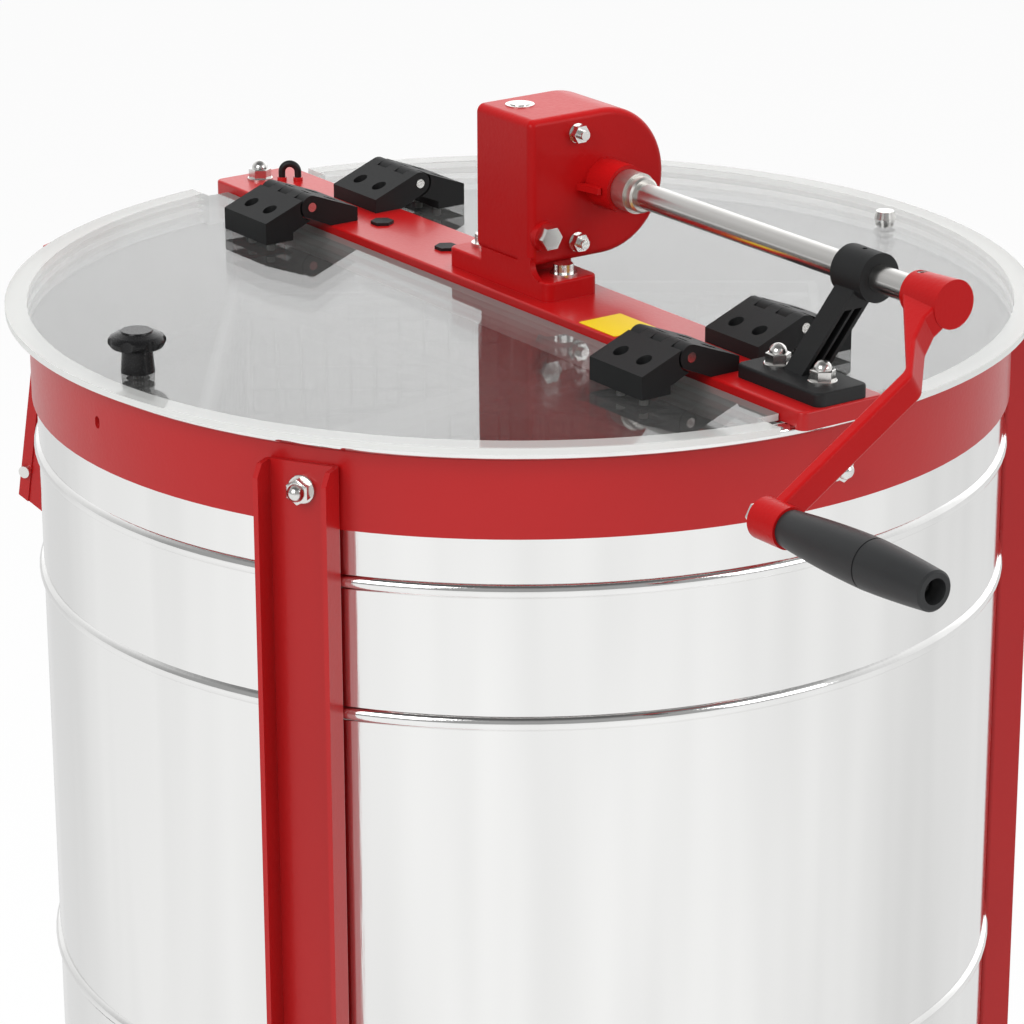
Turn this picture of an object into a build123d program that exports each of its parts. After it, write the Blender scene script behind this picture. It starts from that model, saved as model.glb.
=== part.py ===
from build123d import *
import os
from math import atan, cos, degrees, pi, radians, sin, sqrt, tan

# Hand-crank honey extractor: a steel drum on three legs, a wire basket that spins inside it,
# and a crank that turns the basket through a pair of crossed helical gears.
# Frame: +Z up, origin on the drum's axis at floor level. +X points along the crossbar to the
# crank, -Y is the side of the front lid. Millimetres.

os.makedirs("parts", exist_ok=True)

# ---------------------------------------------------------------- driving dimensions
drum_radius = 300.0
drum_height = 600.0
rim_height = 1050.0
wall = 1.2
band_thickness = 3.0
lid_overhang = 17.0
lid_thickness = 4.0
bar_width = 60.0
bar_sheet = 3.0
shaft_above_lid = 68.5
shaft_radius = 8.0
crank_radius = 170.0
crank_angle = 32.0          # crank at rest, degrees below the horizontal on the front side
running_fit = 0.05          # radial clearance of every turning shaft, pin and bush
air = 0.3                   # gap between parts that move past each other
stand_turn = 1.0            # the drum and its legs stand turned this much from the crossbar

# gears: crossed helical pair, shafts at 90 degrees, both right-handed at 45 degrees
normal_module = 1.75
helix_angle = 45.0
wheel_teeth = 20
pinion_teeth = 9
pressure_angle = 20.0
tooth_thinning = 0.2        # taken off each tooth along the pitch circle for backlash

# ---------------------------------------------------------------- heights and places
rim_bead_radius = 3.6
band_outer = drum_radius + band_thickness
band_top = rim_height - 2 * rim_bead_radius - 0.2
band_bottom = rim_height - 54.0
band_bolt_height = rim_height - 31.5
drum_floor = rim_height - drum_height
lid_under = rim_height + air
lid_top = lid_under + lid_thickness
bar_top = lid_top + 5.0
bar_under = bar_top - bar_sheet
shaft_height = lid_top + shaft_above_lid
front_left = stand_turn - 60
rear_right = stand_turn + 60
back = stand_turn + 180
leg_angles = {"leg_front_left": front_left, "leg_rear_right": rear_right, "leg_back": back}
near_bolt_y = 4.0           # the crank-side band bolt stands this far off the crossbar's middle
leg_top = rim_height - 16.0
lower_bolt_height = drum_floor + 40.0
m8 = 4.0
m8_hole = 4.25


def radial_plane(angle, radius, height):
    """Plane that faces away from the drum axis: x runs round the drum, y runs up."""
    c = cos(radians(angle))
    s = sin(radians(angle))
    return Plane(origin=(radius * c, radius * s, height), x_dir=(-s, c, 0), z_dir=(c, s, 0))


def level_plane(angle, radius, height):
    """Horizontal plane whose x runs away from the drum axis at an angle."""
    c = cos(radians(angle))
    s = sin(radians(angle))
    return Plane(origin=(radius * c, radius * s, height), x_dir=(c, s, 0), z_dir=(0, 0, 1))


def axis_plane(x, y=0.0, z=0.0):
    """Plane across the X direction: its x is the object's Y and its y is the object's Z."""
    return Plane(origin=(x, y, z), x_dir=(0, 1, 0), z_dir=(1, 0, 0))


def band_bolt_planes(reach):
    """Planes across the four band bolts, at a distance from the drum's axis."""
    at_legs = [radial_plane(angle, reach, band_bolt_height) for angle in [front_left, rear_right, back]]
    return at_legs + [axis_plane(reach, near_bolt_y, band_bolt_height)]


# ---------------------------------------------------------------- drum
bead_heights = [rim_height - 86.0, rim_height - 166.0, rim_height - 417.0]
bead_radius = 4.9
bead_centre = drum_radius - 2.0
rim_centre = drum_radius - wall + rim_bead_radius
gate_angle = -120
outlet_radius = 27.0
outlet_bore = 25.0
floor_edge = drum_floor + 5.0
outlet_height = floor_edge + outlet_radius + 1.0
pipe_start = sqrt((drum_radius - wall)**2 - outlet_radius**2)

with BuildPart() as drum_shell:
    with BuildSketch(Plane.XZ) as wall_section:
        with Locations((drum_radius - wall / 2, drum_floor + drum_height / 2)):
            Rectangle(wall, drum_height)
        for bead_height in bead_heights:
            with Locations((bead_centre, bead_height)):
                Circle(bead_radius)
        for bead_height in bead_heights:
            with Locations((bead_centre, bead_height)):
                Circle(bead_radius - wall, mode=Mode.SUBTRACT)
        with Locations((drum_radius - wall - 20, drum_floor + drum_height / 2)):
            Rectangle(40, drum_height, mode=Mode.SUBTRACT)
        with Locations((rim_centre, rim_height - rim_bead_radius)):
            Circle(rim_bead_radius)
        with Locations((drum_radius + 1.2, drum_floor + 1.5)):
            Rectangle(2.4, 3)
    revolve(axis=Axis.Z)
    for bolt_plane in band_bolt_planes(drum_radius - 20):
        with BuildSketch(bolt_plane):
            Circle(m8_hole)
        extrude(amount=40, mode=Mode.SUBTRACT)
    for leg_angle in leg_angles.values():
        with BuildSketch(radial_plane(leg_angle, drum_radius - 20, lower_bolt_height)):
            Circle(m8_hole)
        extrude(amount=40, mode=Mode.SUBTRACT)
    with BuildSketch(radial_plane(gate_angle, drum_radius - 20, outlet_height)):
        Circle(outlet_radius)
    extrude(amount=40, mode=Mode.SUBTRACT)
drum_shell.part.label = "drum_shell"
export_step(drum_shell.part, "parts/drum_shell.step")

cone_top = drum_floor + 50.0
cone_flat = 34.0
inner_radius = drum_radius - wall
with BuildPart() as drum_bottom:
    with BuildSketch(Plane.XZ):
        Polygon(
            (inner_radius, floor_edge),
            (cone_flat, cone_top),
            (0, cone_top),
            (0, cone_top - 1.5),
            (cone_flat, cone_top - 1.5),
            (inner_radius, floor_edge - 1.5),
            align=None,
        )
    revolve(axis=Axis.Z)
drum_bottom.part.label = "drum_bottom"
export_step(drum_bottom.part, "parts/drum_bottom.step")

with BuildPart() as drum_band:
    with BuildSketch(Plane.XY.offset(band_bottom)):
        Circle(band_outer)
        Circle(drum_radius, mode=Mode.SUBTRACT)
    extrude(amount=band_top - band_bottom)
    for bolt_plane in band_bolt_planes(drum_radius - 20):
        with BuildSketch(bolt_plane):
            Circle(m8_hole)
        extrude(amount=40, mode=Mode.SUBTRACT)
    with BuildSketch(radial_plane(-89.8, drum_radius - 20, rim_height - 26.3)):
        SlotOverall(7.5, 5, rotation=90)
    extrude(amount=40, mode=Mode.SUBTRACT)
drum_band.part.label = "drum_band"
export_step(drum_band.part, "parts/drum_band.step")

# ---------------------------------------------------------------- legs
leg_web_radius = band_outer + 0.02
leg_width = 45.3
leg_depth = 19.0
leg_sheet = 3.0
foot_sheet = 4.0
foot_size = 60.0
foot_hole_radius = 337.0
foot_hole = 5.5
corner_in = 6.0             # the flanges lose this corner at the top
corner_down = 7.0


def make_leg(angle):
    """Pressed channel, open outwards, with a foot plate that has a floor hole."""
    with BuildPart() as leg:
        with BuildSketch(level_plane(angle, leg_web_radius, foot_sheet)) as section:
            with Locations((leg_depth / 2, 0)):
                Rectangle(leg_depth, leg_width)
            fillet(section.vertices().group_by(Axis.X)[0], leg_sheet)
            with Locations((leg_depth / 2 + leg_sheet, 0)):
                Rectangle(leg_depth, leg_width - 2 * leg_sheet, mode=Mode.SUBTRACT)
        extrude(amount=leg_top - foot_sheet)
        edge = -leg_web_radius - leg_depth
        with BuildSketch(radial_plane(angle + 90, 0, leg_top)):
            with BuildLine():
                Polyline((edge, 0.01), (edge, -corner_down), (edge + corner_in, 0.01), close=True)
            make_face()
        extrude(amount=leg_width, both=True, mode=Mode.SUBTRACT)
        with BuildSketch(level_plane(angle, leg_web_radius + foot_size / 2 - 5, 0)):
            RectangleRounded(foot_size, foot_size, 8)
        extrude(amount=foot_sheet)
        with BuildSketch(level_plane(angle, foot_hole_radius, 0)):
            Circle(foot_hole)
        extrude(amount=foot_sheet, mode=Mode.SUBTRACT)
        for bolt_height in [band_bolt_height, lower_bolt_height]:
            with BuildSketch(radial_plane(angle, leg_web_radius - 5, bolt_height)):
                Circle(m8_hole)
            extrude(amount=12, mode=Mode.SUBTRACT)
    return leg.part


for leg_name, leg_angle in leg_angles.items():
    leg_part = make_leg(leg_angle)
    leg_part.label = leg_name
    export_step(leg_part, "parts/" + leg_name + ".step")

with BuildPart() as leg_spacers:
    for leg_angle in leg_angles.values():
        with BuildSketch(radial_plane(leg_angle, drum_radius + 0.02, lower_bolt_height)):
            Circle(9)
            Circle(m8_hole, mode=Mode.SUBTRACT)
        extrude(amount=leg_web_radius - drum_radius - 0.02)
leg_spacers.part.label = "leg_spacers"
export_step(leg_spacers.part, "parts/leg_spacers.step")

# ---------------------------------------------------------------- crossbar
bar_far = -(drum_radius + 11.0)
bar_near = drum_radius + 13.0
bar_skirt = 11.0
bar_bolt_reach = drum_radius - 6.5
support_bolt_reach = drum_radius - 46.5
bar_bolt_places = {
    bar_bolt_reach: (bar_bolt_reach, 0),
    support_bolt_reach: (support_bolt_reach, 0),
    -bar_bolt_reach: (bar_bolt_reach * cos(radians(back)), bar_bolt_reach * sin(radians(back))),
}
gearbox_bolts_x = [45.0, -38.0]
plug_places = [(-153, -0.5), (-80, -0.5)]
wire_places = [(-(drum_radius - 18), 5), (-(drum_radius - 24.5), 13.5)]
hinge_length = 50.0
hinge_screw_pitch = 22.0
pin_out = 14.5              # the pins stand this far outside the bar's edge
leaf_reach = 35.0
leaf_screw = 23.0
pin_y = bar_width / 2 + pin_out
bar_screw_y = pin_y - leaf_screw
hinge_places = {
    -1: [-(drum_radius - 107.0), drum_radius - 95.0],
    1: [-(drum_radius - 99.5), drum_radius - 101.5],
}
all_hinges = [(x, side) for side in [-1, 1] for x in hinge_places[side]]
screw_steps = [-hinge_screw_pitch / 2, hinge_screw_pitch / 2]
bar_screws = [(x + dx, side * bar_screw_y) for x, side in all_hinges for dx in screw_steps]
screw_hole = 2.6

with BuildPart() as crossbar:
    with BuildSketch(Plane.XY.offset(bar_top - bar_skirt)):
        with Locations(((bar_near + bar_far) / 2, 0)):
            RectangleRounded(bar_near - bar_far, bar_width, 5)
    extrude(amount=bar_skirt)
    fillet(crossbar.faces().sort_by(Axis.Z)[-1].edges(), 1.5)
    with BuildSketch(Plane.XY.offset(bar_top - bar_skirt)):
        with Locations(((bar_near + bar_far) / 2, 0)):
            RectangleRounded(bar_near - bar_far - 2 * bar_sheet, bar_width - 2 * bar_sheet, 2)
    extrude(amount=bar_skirt - bar_sheet, mode=Mode.SUBTRACT)
    notch_inner = drum_radius - 9.0
    notch_outer = rim_centre + rim_bead_radius + 0.6
    with BuildSketch(Plane.XY.offset(bar_top - bar_skirt)):
        with Locations(((notch_inner + notch_outer) / 2, 0), (-(notch_inner + notch_outer) / 2, 0)):
            Rectangle(notch_outer - notch_inner, bar_width)
    extrude(amount=rim_height + 0.02 - bar_top + bar_skirt, mode=Mode.SUBTRACT)
    with BuildSketch(Plane.XY.offset(bar_under)):
        with Locations((0, 0)):
            Circle(13)
        with Locations(list(bar_bolt_places.values())):
            Circle(m8_hole)
        with Locations([(x, 0) for x in gearbox_bolts_x]):
            Circle(m8_hole)
        with Locations(plug_places):
            Circle(4.5)
        with Locations(wire_places):
            Circle(2.5)
        with Locations(bar_screws):
            Circle(screw_hole)
    extrude(amount=bar_sheet, mode=Mode.SUBTRACT)
crossbar.part.label = "crossbar"
export_step(crossbar.part, "parts/crossbar.step")

bracket_face = inner_radius - 0.7
bracket_sheet = 2.5


def bar_bracket(hole_y):
    """Bent strap under the near end of the crossbar; its band hole stands hole_y off the middle."""
    with BuildPart() as strap:
        with BuildSketch(Plane.XZ.offset(-20)):
            with BuildLine():
                Polyline((bracket_face, band_bolt_height - 14), (bracket_face, bar_under),
                         (bracket_face - 36, bar_under), (bracket_face - 36, bar_under - bracket_sheet),
                         (bracket_face - bracket_sheet, bar_under - bracket_sheet),
                         (bracket_face - bracket_sheet, band_bolt_height - 14), close=True)
            make_face()
        extrude(amount=40)
        with BuildSketch(Plane.XY.offset(bar_under - bracket_sheet)):
            with Locations((bar_bolt_reach, 0)):
                Circle(m8_hole)
        extrude(amount=bracket_sheet, mode=Mode.SUBTRACT)
        with BuildSketch(axis_plane(bracket_face - bracket_sheet / 2, hole_y, band_bolt_height)):
            Circle(m8_hole)
        extrude(amount=bracket_sheet, both=True, mode=Mode.SUBTRACT)
    return strap.part


with BuildPart() as bar_brackets:
    add(bar_bracket(near_bolt_y))
    add(Rot(0, 0, back) * bar_bracket(0))
bar_brackets.part.label = "bar_brackets"
export_step(bar_brackets.part, "parts/bar_brackets.step")

# ---------------------------------------------------------------- M8 fasteners of the frame
bolt_head = 6.5
bolt_head_height = 3.0
nut_flats = 13.0
flange_radius = 8.5


def bolt(plane, reach):
    """Pan-headed bolt: the plane lies under its head and faces along the shank."""
    with BuildPart() as one:
        with BuildSketch(plane.offset(-bolt_head_height)):
            Circle(bolt_head)
        extrude(amount=bolt_head_height)
        with BuildSketch(plane):
            Circle(m8)
        extrude(amount=reach)
    return one.part


def cap_nut(plane):
    """Flanged nut with a domed cap, seated on the plane and bored for the shank."""
    with BuildPart() as one:
        with BuildSketch(plane):
            Circle(flange_radius)
        extrude(amount=1.6)
        with BuildSketch(plane.offset(1.6)):
            RegularPolygon(nut_flats / 2, 6, major_radius=False)
        extrude(amount=6)
        with BuildSketch(plane.offset(7.6)):
            Circle(5.6)
        extrude(amount=5, taper=14)
        with BuildSketch(plane):
            Circle(m8)
        extrude(amount=10.5, mode=Mode.SUBTRACT)
    return one.part


leg_bolt_seat = inner_radius - 0.1
bracket_bolt_seat = bracket_face - bracket_sheet
leg_nut_seat = leg_web_radius + leg_sheet
leg_bolt_reach = leg_nut_seat - leg_bolt_seat + 10

base_top = bar_top + 8.0
with BuildPart() as frame_bolts:
    for leg_angle in [front_left, rear_right]:
        add(bolt(radial_plane(leg_angle, leg_bolt_seat, band_bolt_height), leg_bolt_reach))
    back_plane = radial_plane(back, bracket_bolt_seat, band_bolt_height)
    add(bolt(back_plane, leg_nut_seat - bracket_bolt_seat + 10))
    crank_side_plane = axis_plane(bracket_bolt_seat, near_bolt_y, band_bolt_height)
    add(bolt(crank_side_plane, band_outer - bracket_bolt_seat + 10))
    for leg_angle in leg_angles.values():
        add(bolt(radial_plane(leg_angle, leg_bolt_seat, lower_bolt_height), leg_bolt_reach))
    for reach, seat in [(-bar_bolt_reach, bar_top), (bar_bolt_reach, base_top)]:
        with BuildSketch(Plane.XY.offset(bar_under - bracket_sheet)):
            with Locations(bar_bolt_places[reach]):
                Circle(m8)
        extrude(amount=seat - bar_under + bracket_sheet + 10)
    support_bolt = bolt(Plane.XY.offset(bar_under), base_top - bar_under + 10)
    add(Pos(*bar_bolt_places[support_bolt_reach]) * support_bolt)
frame_bolts.part.label = "frame_bolts"
export_step(frame_bolts.part, "parts/frame_bolts.step")

with BuildPart() as leg_nuts:
    for leg_angle in leg_angles.values():
        for nut_height in [band_bolt_height, lower_bolt_height]:
            add(cap_nut(radial_plane(leg_angle, leg_nut_seat, nut_height)))
    add(cap_nut(axis_plane(band_outer, near_bolt_y, band_bolt_height)))
leg_nuts.part.label = "leg_nuts"
export_step(leg_nuts.part, "parts/leg_nuts.step")

with BuildPart() as bar_nuts:
    add(Pos(*bar_bolt_places[-bar_bolt_reach]) * cap_nut(Plane.XY.offset(bar_top)))
    add(Pos(*bar_bolt_places[bar_bolt_reach]) * cap_nut(Plane.XY.offset(base_top)))
    add(Pos(*bar_bolt_places[support_bolt_reach]) * cap_nut(Plane.XY.offset(base_top)))
bar_nuts.part.label = "bar_nuts"
export_step(bar_nuts.part, "parts/bar_nuts.step")

# ---------------------------------------------------------------- small things on the bar
with BuildPart() as bar_plugs:
    with BuildSketch(Plane.XY.offset(bar_top)):
        with Locations(plug_places):
            RegularPolygon(7.5, 6)
    extrude(amount=2)
    with BuildSketch(Plane.XY.offset(bar_under - 2)):
        with Locations(plug_places):
            Circle(4.5)
    extrude(amount=bar_sheet + 2)
bar_plugs.part.label = "bar_plugs"
export_step(bar_plugs.part, "parts/bar_plugs.step")

wire_radius = 2.3
wire_start = Vector(wire_places[0][0], wire_places[0][1], 0)
wire_end = Vector(wire_places[1][0], wire_places[1][1], 0)
wire_span = wire_end - wire_start
loop_radius = wire_span.length / 2
loop_foot = bar_under
loop_spring = bar_top + 6.0
wire_plane = Plane(
    origin=(wire_start.X, wire_start.Y, loop_foot),
    x_dir=(wire_span.X, wire_span.Y, 0),
    z_dir=(wire_span.Y, -wire_span.X, 0),
)
with BuildPart() as wire_loop:
    with BuildLine(wire_plane) as wire_path:
        rise = Line((0, 0), (0, loop_spring - loop_foot))
        bend = RadiusArc(rise @ 1, (2 * loop_radius, loop_spring - loop_foot), loop_radius)
        Line(bend @ 1, (2 * loop_radius, 0))
    with BuildSketch(Plane(origin=(wire_start.X, wire_start.Y, loop_foot))):
        Circle(wire_radius)
    sweep(path=wire_path.wires()[0])
wire_loop.part.label = "wire_loop"
export_step(wire_loop.part, "parts/wire_loop.step")

with BuildPart() as wire_sleeves:
    with BuildSketch(Plane.XY.offset(bar_top)):
        with Locations(wire_places):
            Circle(3.2)
            Circle(wire_radius, mode=Mode.SUBTRACT)
    extrude(amount=2.4)
wire_sleeves.part.label = "wire_sleeves"
export_step(wire_sleeves.part, "parts/wire_sleeves.step")

with BuildPart() as blank_label:
    with BuildSketch(Plane.XY.offset(bar_top)):
        with Locations((117, -12.5)):
            RectangleRounded(36, 31, 1)
    extrude(amount=0.3)
blank_label.part.label = "blank_label"
export_step(blank_label.part, "parts/blank_label.step")

# ---------------------------------------------------------------- gear sizes
transverse_module = normal_module / cos(radians(helix_angle))
wheel_pitch = transverse_module * wheel_teeth / 2
pinion_pitch = transverse_module * pinion_teeth / 2
shaft_y = wheel_pitch + pinion_pitch
transverse_pressure = degrees(atan(tan(radians(pressure_angle)) / cos(radians(helix_angle))))
wheel_width = 14.0
pinion_width = 24.0
output_radius = 6.0


def involute_angle(radius, base_radius):
    """Polar angle that an involute has turned through by the time it reaches a radius."""
    roll = sqrt(max(radius**2 - base_radius**2, 0)) / base_radius
    return roll - atan(roll)


def gear_outline(teeth, first_angle):
    """Closed line of a transverse gear section: involute flanks, straight roots, arcs at the tips.

    The first tooth is centred on first_angle, in degrees.
    """
    pitch_radius = transverse_module * teeth / 2
    base_radius = pitch_radius * cos(radians(transverse_pressure))
    tip_radius = pitch_radius + normal_module
    root_radius = pitch_radius - 1.25 * normal_module
    flank_start = max(base_radius, root_radius)
    half_tooth = (pi * transverse_module / 2 - tooth_thinning) / (2 * pitch_radius)
    pitch_involute = involute_angle(pitch_radius, base_radius)
    steps = 5

    def polar(radius, angle):
        return (radius * cos(angle), radius * sin(angle))

    for tooth in range(teeth):
        centre = radians(first_angle) + 2 * pi * tooth / teeth
        radii = [flank_start + (tip_radius - flank_start) * k / steps for k in range(steps + 1)]
        turns = [half_tooth + pitch_involute - involute_angle(r, base_radius) for r in radii]
        left = [polar(r, centre + t) for r, t in zip(radii, turns)]
        right = [polar(r, centre - t) for r, t in zip(radii, turns)]
        foot_right = polar(root_radius, centre - turns[0])
        foot_left = polar(root_radius, centre + turns[0])
        next_right = polar(root_radius, centre + 2 * pi / teeth - turns[0])
        if flank_start > root_radius:
            Line(foot_right, right[0])
            Line(left[0], foot_left)
        Spline(*right)
        ThreePointArc(right[-1], polar(tip_radius, centre), left[-1])
        Spline(*reversed(left))
        ThreePointArc(foot_left, polar(root_radius, centre + pi / teeth), next_right)


def helical_gear(teeth, width, first_angle):
    """Right-handed helical gear about +Z, halfway up its width at z = 0."""
    pitch_radius = transverse_module * teeth / 2
    twist = degrees(width * tan(radians(helix_angle)) / pitch_radius)
    with BuildSketch(Plane.XY, mode=Mode.PRIVATE) as section:
        with BuildLine():
            gear_outline(teeth, first_angle - twist / 2)
        make_face()
    blank = Solid.extrude_linear_with_rotation(section.sketch.face(), (0, 0, 0), (0, 0, width), twist)
    return Pos(0, 0, -width / 2) * blank


# ---------------------------------------------------------------- gearbox
box_back = -17.0
box_front = 39.0
box_radius = 45.5
box_wall = 5.0
box_round = 5.0
box_left = -20.0
foot_top = bar_top + 12.0
foot_near = 56.0
foot_far = -50.0
foot_left = -20.0
foot_right = 19.0
neck_front = 27.0
cover_thickness = 3.5
neck_back = box_back + cover_thickness
boss_radius = 15.0
boss_front = 61.0
bush_radius = 11.0
box_bottom = shaft_height - box_radius
box_top = shaft_height + box_radius
tie_y = 14.0
tie_heights = [shaft_height - 34, shaft_height + 34]
tie_bolt = 3.0
hex_plug = (-10.5, shaft_height - 26.5)
output_bush = 7.5
lower_bush = 9.0


def box_outline(inset):
    """D shape of the gearbox: flat towards the front lid, round about the crank shaft."""
    with Locations((shaft_y, shaft_height)):
        Circle(box_radius - inset)
    flat = box_left + inset
    with Locations(((flat + shaft_y) / 2, shaft_height)):
        Rectangle(shaft_y - flat, 2 * (box_radius - inset))


with BuildPart() as gearbox_housing:
    with BuildSketch(axis_plane(box_back + cover_thickness)) as box_section:
        box_outline(0)
        fillet(box_section.vertices().group_by(Axis.X)[0], box_round)
    extrude(amount=box_front - box_back - cover_thickness)
    fillet(gearbox_housing.faces().sort_by(Axis.X)[-1].edges(), box_round - 0.5)
    with BuildSketch(Plane.XY.offset(bar_top)):
        with Locations(((foot_near + foot_far) / 2, (foot_left + foot_right) / 2)):
            RectangleRounded(foot_near - foot_far, foot_right - foot_left, 6)
    extrude(amount=foot_top - bar_top)
    foot_face = gearbox_housing.faces().filter_by(Axis.Z).filter_by(
        lambda f: abs(f.center().Z - foot_top) < 0.01)
    fillet(foot_face.edges(), 1.5)
    with BuildSketch(Plane.XY.offset(foot_top - 2)):
        with Locations(((neck_front + neck_back) / 2, (box_left + foot_right) / 2)):
            Rectangle(neck_front - neck_back, foot_right - box_left)
    extrude(amount=box_bottom - foot_top + 4)
    gusset_rise = box_bottom + 6 - foot_top
    gusset_front = box_front + 8.0
    with BuildSketch(Plane.XZ.offset(-box_left)):
        with BuildLine():
            Line((neck_front - 2, foot_top - 1), (gusset_front, foot_top - 1))
            Line((gusset_front, foot_top - 1), (gusset_front, foot_top))
            gusset_curve = TangentArc((gusset_front, foot_top), (box_front, foot_top + gusset_rise),
                                      tangent=(-1, 0))
            Line(gusset_curve @ 1, (neck_front - 2, foot_top + gusset_rise))
            Line((neck_front - 2, foot_top + gusset_rise), (neck_front - 2, foot_top - 1))
        make_face()
    extrude(amount=-4)
    with BuildSketch(axis_plane(box_front - 1)):
        with Locations((shaft_y, shaft_height)):
            Circle(boss_radius)
    extrude(amount=boss_front - box_front + 1)
    for rib_angle in [45, 135, 225, 315]:
        rib_plane = axis_plane(box_front, shaft_y, shaft_height).rotated((0, 0, rib_angle))
        with BuildSketch(Plane(origin=rib_plane.origin, x_dir=rib_plane.x_dir, z_dir=rib_plane.y_dir)):
            with BuildLine():
                Polyline((boss_radius - 2, 1), (boss_radius + 9, 1), (boss_radius + 9, -1),
                         (boss_radius, -15), (boss_radius - 2, -15), close=True)
            make_face()
        extrude(amount=2, both=True)
    with BuildSketch(axis_plane(box_front - 1)):
        with Locations(hex_plug):
            Circle(9)
    extrude(amount=5)
    with BuildSketch(axis_plane(box_back + cover_thickness)):
        box_outline(box_wall)
    extrude(amount=box_front - box_back - cover_thickness - box_wall, mode=Mode.SUBTRACT)
    with BuildSketch(Plane.XY.offset(shaft_height + 27)):
        Circle(9.5)
    extrude(amount=box_radius - box_wall - 27 + 1)
    with BuildSketch(Plane.XY.offset(shaft_height + 26)):
        Circle(output_bush)
    extrude(amount=box_radius - 26 - 5, mode=Mode.SUBTRACT)
    with BuildSketch(Plane.XY.offset(bar_top - 1)):
        Circle(lower_bush)
    extrude(amount=box_bottom + box_wall - bar_top + 2, mode=Mode.SUBTRACT)
    with BuildSketch(axis_plane(box_front - box_wall - 1)):
        with Locations((shaft_y, shaft_height)):
            Circle(bush_radius)
    extrude(amount=boss_front - box_front + box_wall + 2, mode=Mode.SUBTRACT)
    with BuildSketch(axis_plane(box_front - box_wall - 1)):
        with Locations([(tie_y, z) for z in tie_heights]):
            Circle(tie_bolt)
        with Locations(hex_plug):
            Circle(m8)
    extrude(amount=20, mode=Mode.SUBTRACT)
    with BuildSketch(Plane.XY.offset(bar_top - 1)):
        with Locations([(x, 0) for x in gearbox_bolts_x]):
            Circle(m8_hole)
    extrude(amount=foot_top - bar_top + 2, mode=Mode.SUBTRACT)
    with BuildSketch(Plane.XY.offset(box_top - 3)):
        Circle(9)
    extrude(amount=4, mode=Mode.SUBTRACT)
gearbox_housing.part.label = "gearbox_housing"
export_step(gearbox_housing.part, "parts/gearbox_housing.step")

rear_boss_front = -wheel_width / 2 - 1.5
shaft_back = box_back + 2.5
with BuildPart() as gearbox_cover:
    with BuildSketch(axis_plane(box_back)) as cover_section:
        box_outline(0)
        fillet(cover_section.vertices().group_by(Axis.X)[0], box_round)
    extrude(amount=cover_thickness)
    with BuildSketch(axis_plane(box_back + 1)):
        with Locations((shaft_y, shaft_height)):
            Circle(boss_radius)
    extrude(amount=rear_boss_front - box_back - 1)
    with BuildSketch(axis_plane(shaft_back - 0.5)):
        with Locations((shaft_y, shaft_height)):
            Circle(bush_radius)
    extrude(amount=20, mode=Mode.SUBTRACT)
    with BuildSketch(axis_plane(box_back - 1)):
        with Locations([(tie_y, z) for z in tie_heights]):
            Circle(tie_bolt)
    extrude(amount=20, mode=Mode.SUBTRACT)
gearbox_cover.part.label = "gearbox_cover"
export_step(gearbox_cover.part, "parts/gearbox_cover.step")

with BuildPart() as cover_bolts:
    for tie_height in tie_heights:
        with BuildSketch(axis_plane(box_back - 4, tie_y, tie_height)):
            RegularPolygon(5, 6, major_radius=False)
        extrude(amount=4)
        with BuildSketch(axis_plane(box_back, tie_y, tie_height)):
            Circle(tie_bolt)
        extrude(amount=box_front - box_back + 10)
        with BuildSketch(axis_plane(box_front, tie_y, tie_height)):
            Circle(6)
            Circle(tie_bolt + 0.01, mode=Mode.SUBTRACT)
        extrude(amount=1.2)
        with BuildSketch(axis_plane(box_front + 1.2, tie_y, tie_height)):
            RegularPolygon(5, 6, major_radius=False)
            Circle(tie_bolt + 0.01, mode=Mode.SUBTRACT)
        extrude(amount=5)
    with BuildSketch(axis_plane(box_front + 4, *hex_plug)):
        RegularPolygon(nut_flats / 2, 6, major_radius=False)
    extrude(amount=5.5)
    with BuildSketch(axis_plane(box_front - box_wall, *hex_plug)):
        Circle(m8)
    extrude(amount=box_wall + 4)
cover_bolts.part.label = "cover_bolts"
export_step(cover_bolts.part, "parts/cover_bolts.step")

with BuildPart() as foot_bolts:
    for bolt_x in gearbox_bolts_x:
        foot_plane = Plane(origin=(bolt_x, 0, foot_top))
        with BuildSketch(foot_plane):
            Circle(8.5)
        extrude(amount=2)
        with BuildSketch(foot_plane.offset(2)):
            RegularPolygon(6.4, 6)
            RegularPolygon(6.4, 6, rotation=30)
        extrude(amount=5.5)
        with BuildSketch(foot_plane):
            Circle(m8)
        extrude(amount=-(foot_top - bar_under + 8))
        with BuildSketch(Plane(origin=(bolt_x, 0, bar_under - 6.5))):
            RegularPolygon(nut_flats / 2, 6, major_radius=False)
            Circle(m8 + 0.01, mode=Mode.SUBTRACT)
        extrude(amount=6.5)
foot_bolts.part.label = "foot_bolts"
export_step(foot_bolts.part, "parts/foot_bolts.step")

with BuildPart() as top_plug:
    with BuildSketch(Plane.XY.offset(box_top - 3)):
        Circle(9)
    extrude(amount=3.6)
    with BuildSketch(Plane.XY.offset(box_top + 0.6)):
        Circle(6.2)
    extrude(amount=0.5)
top_plug.part.label = "top_plug"
export_step(top_plug.part, "parts/top_plug.step")

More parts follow.
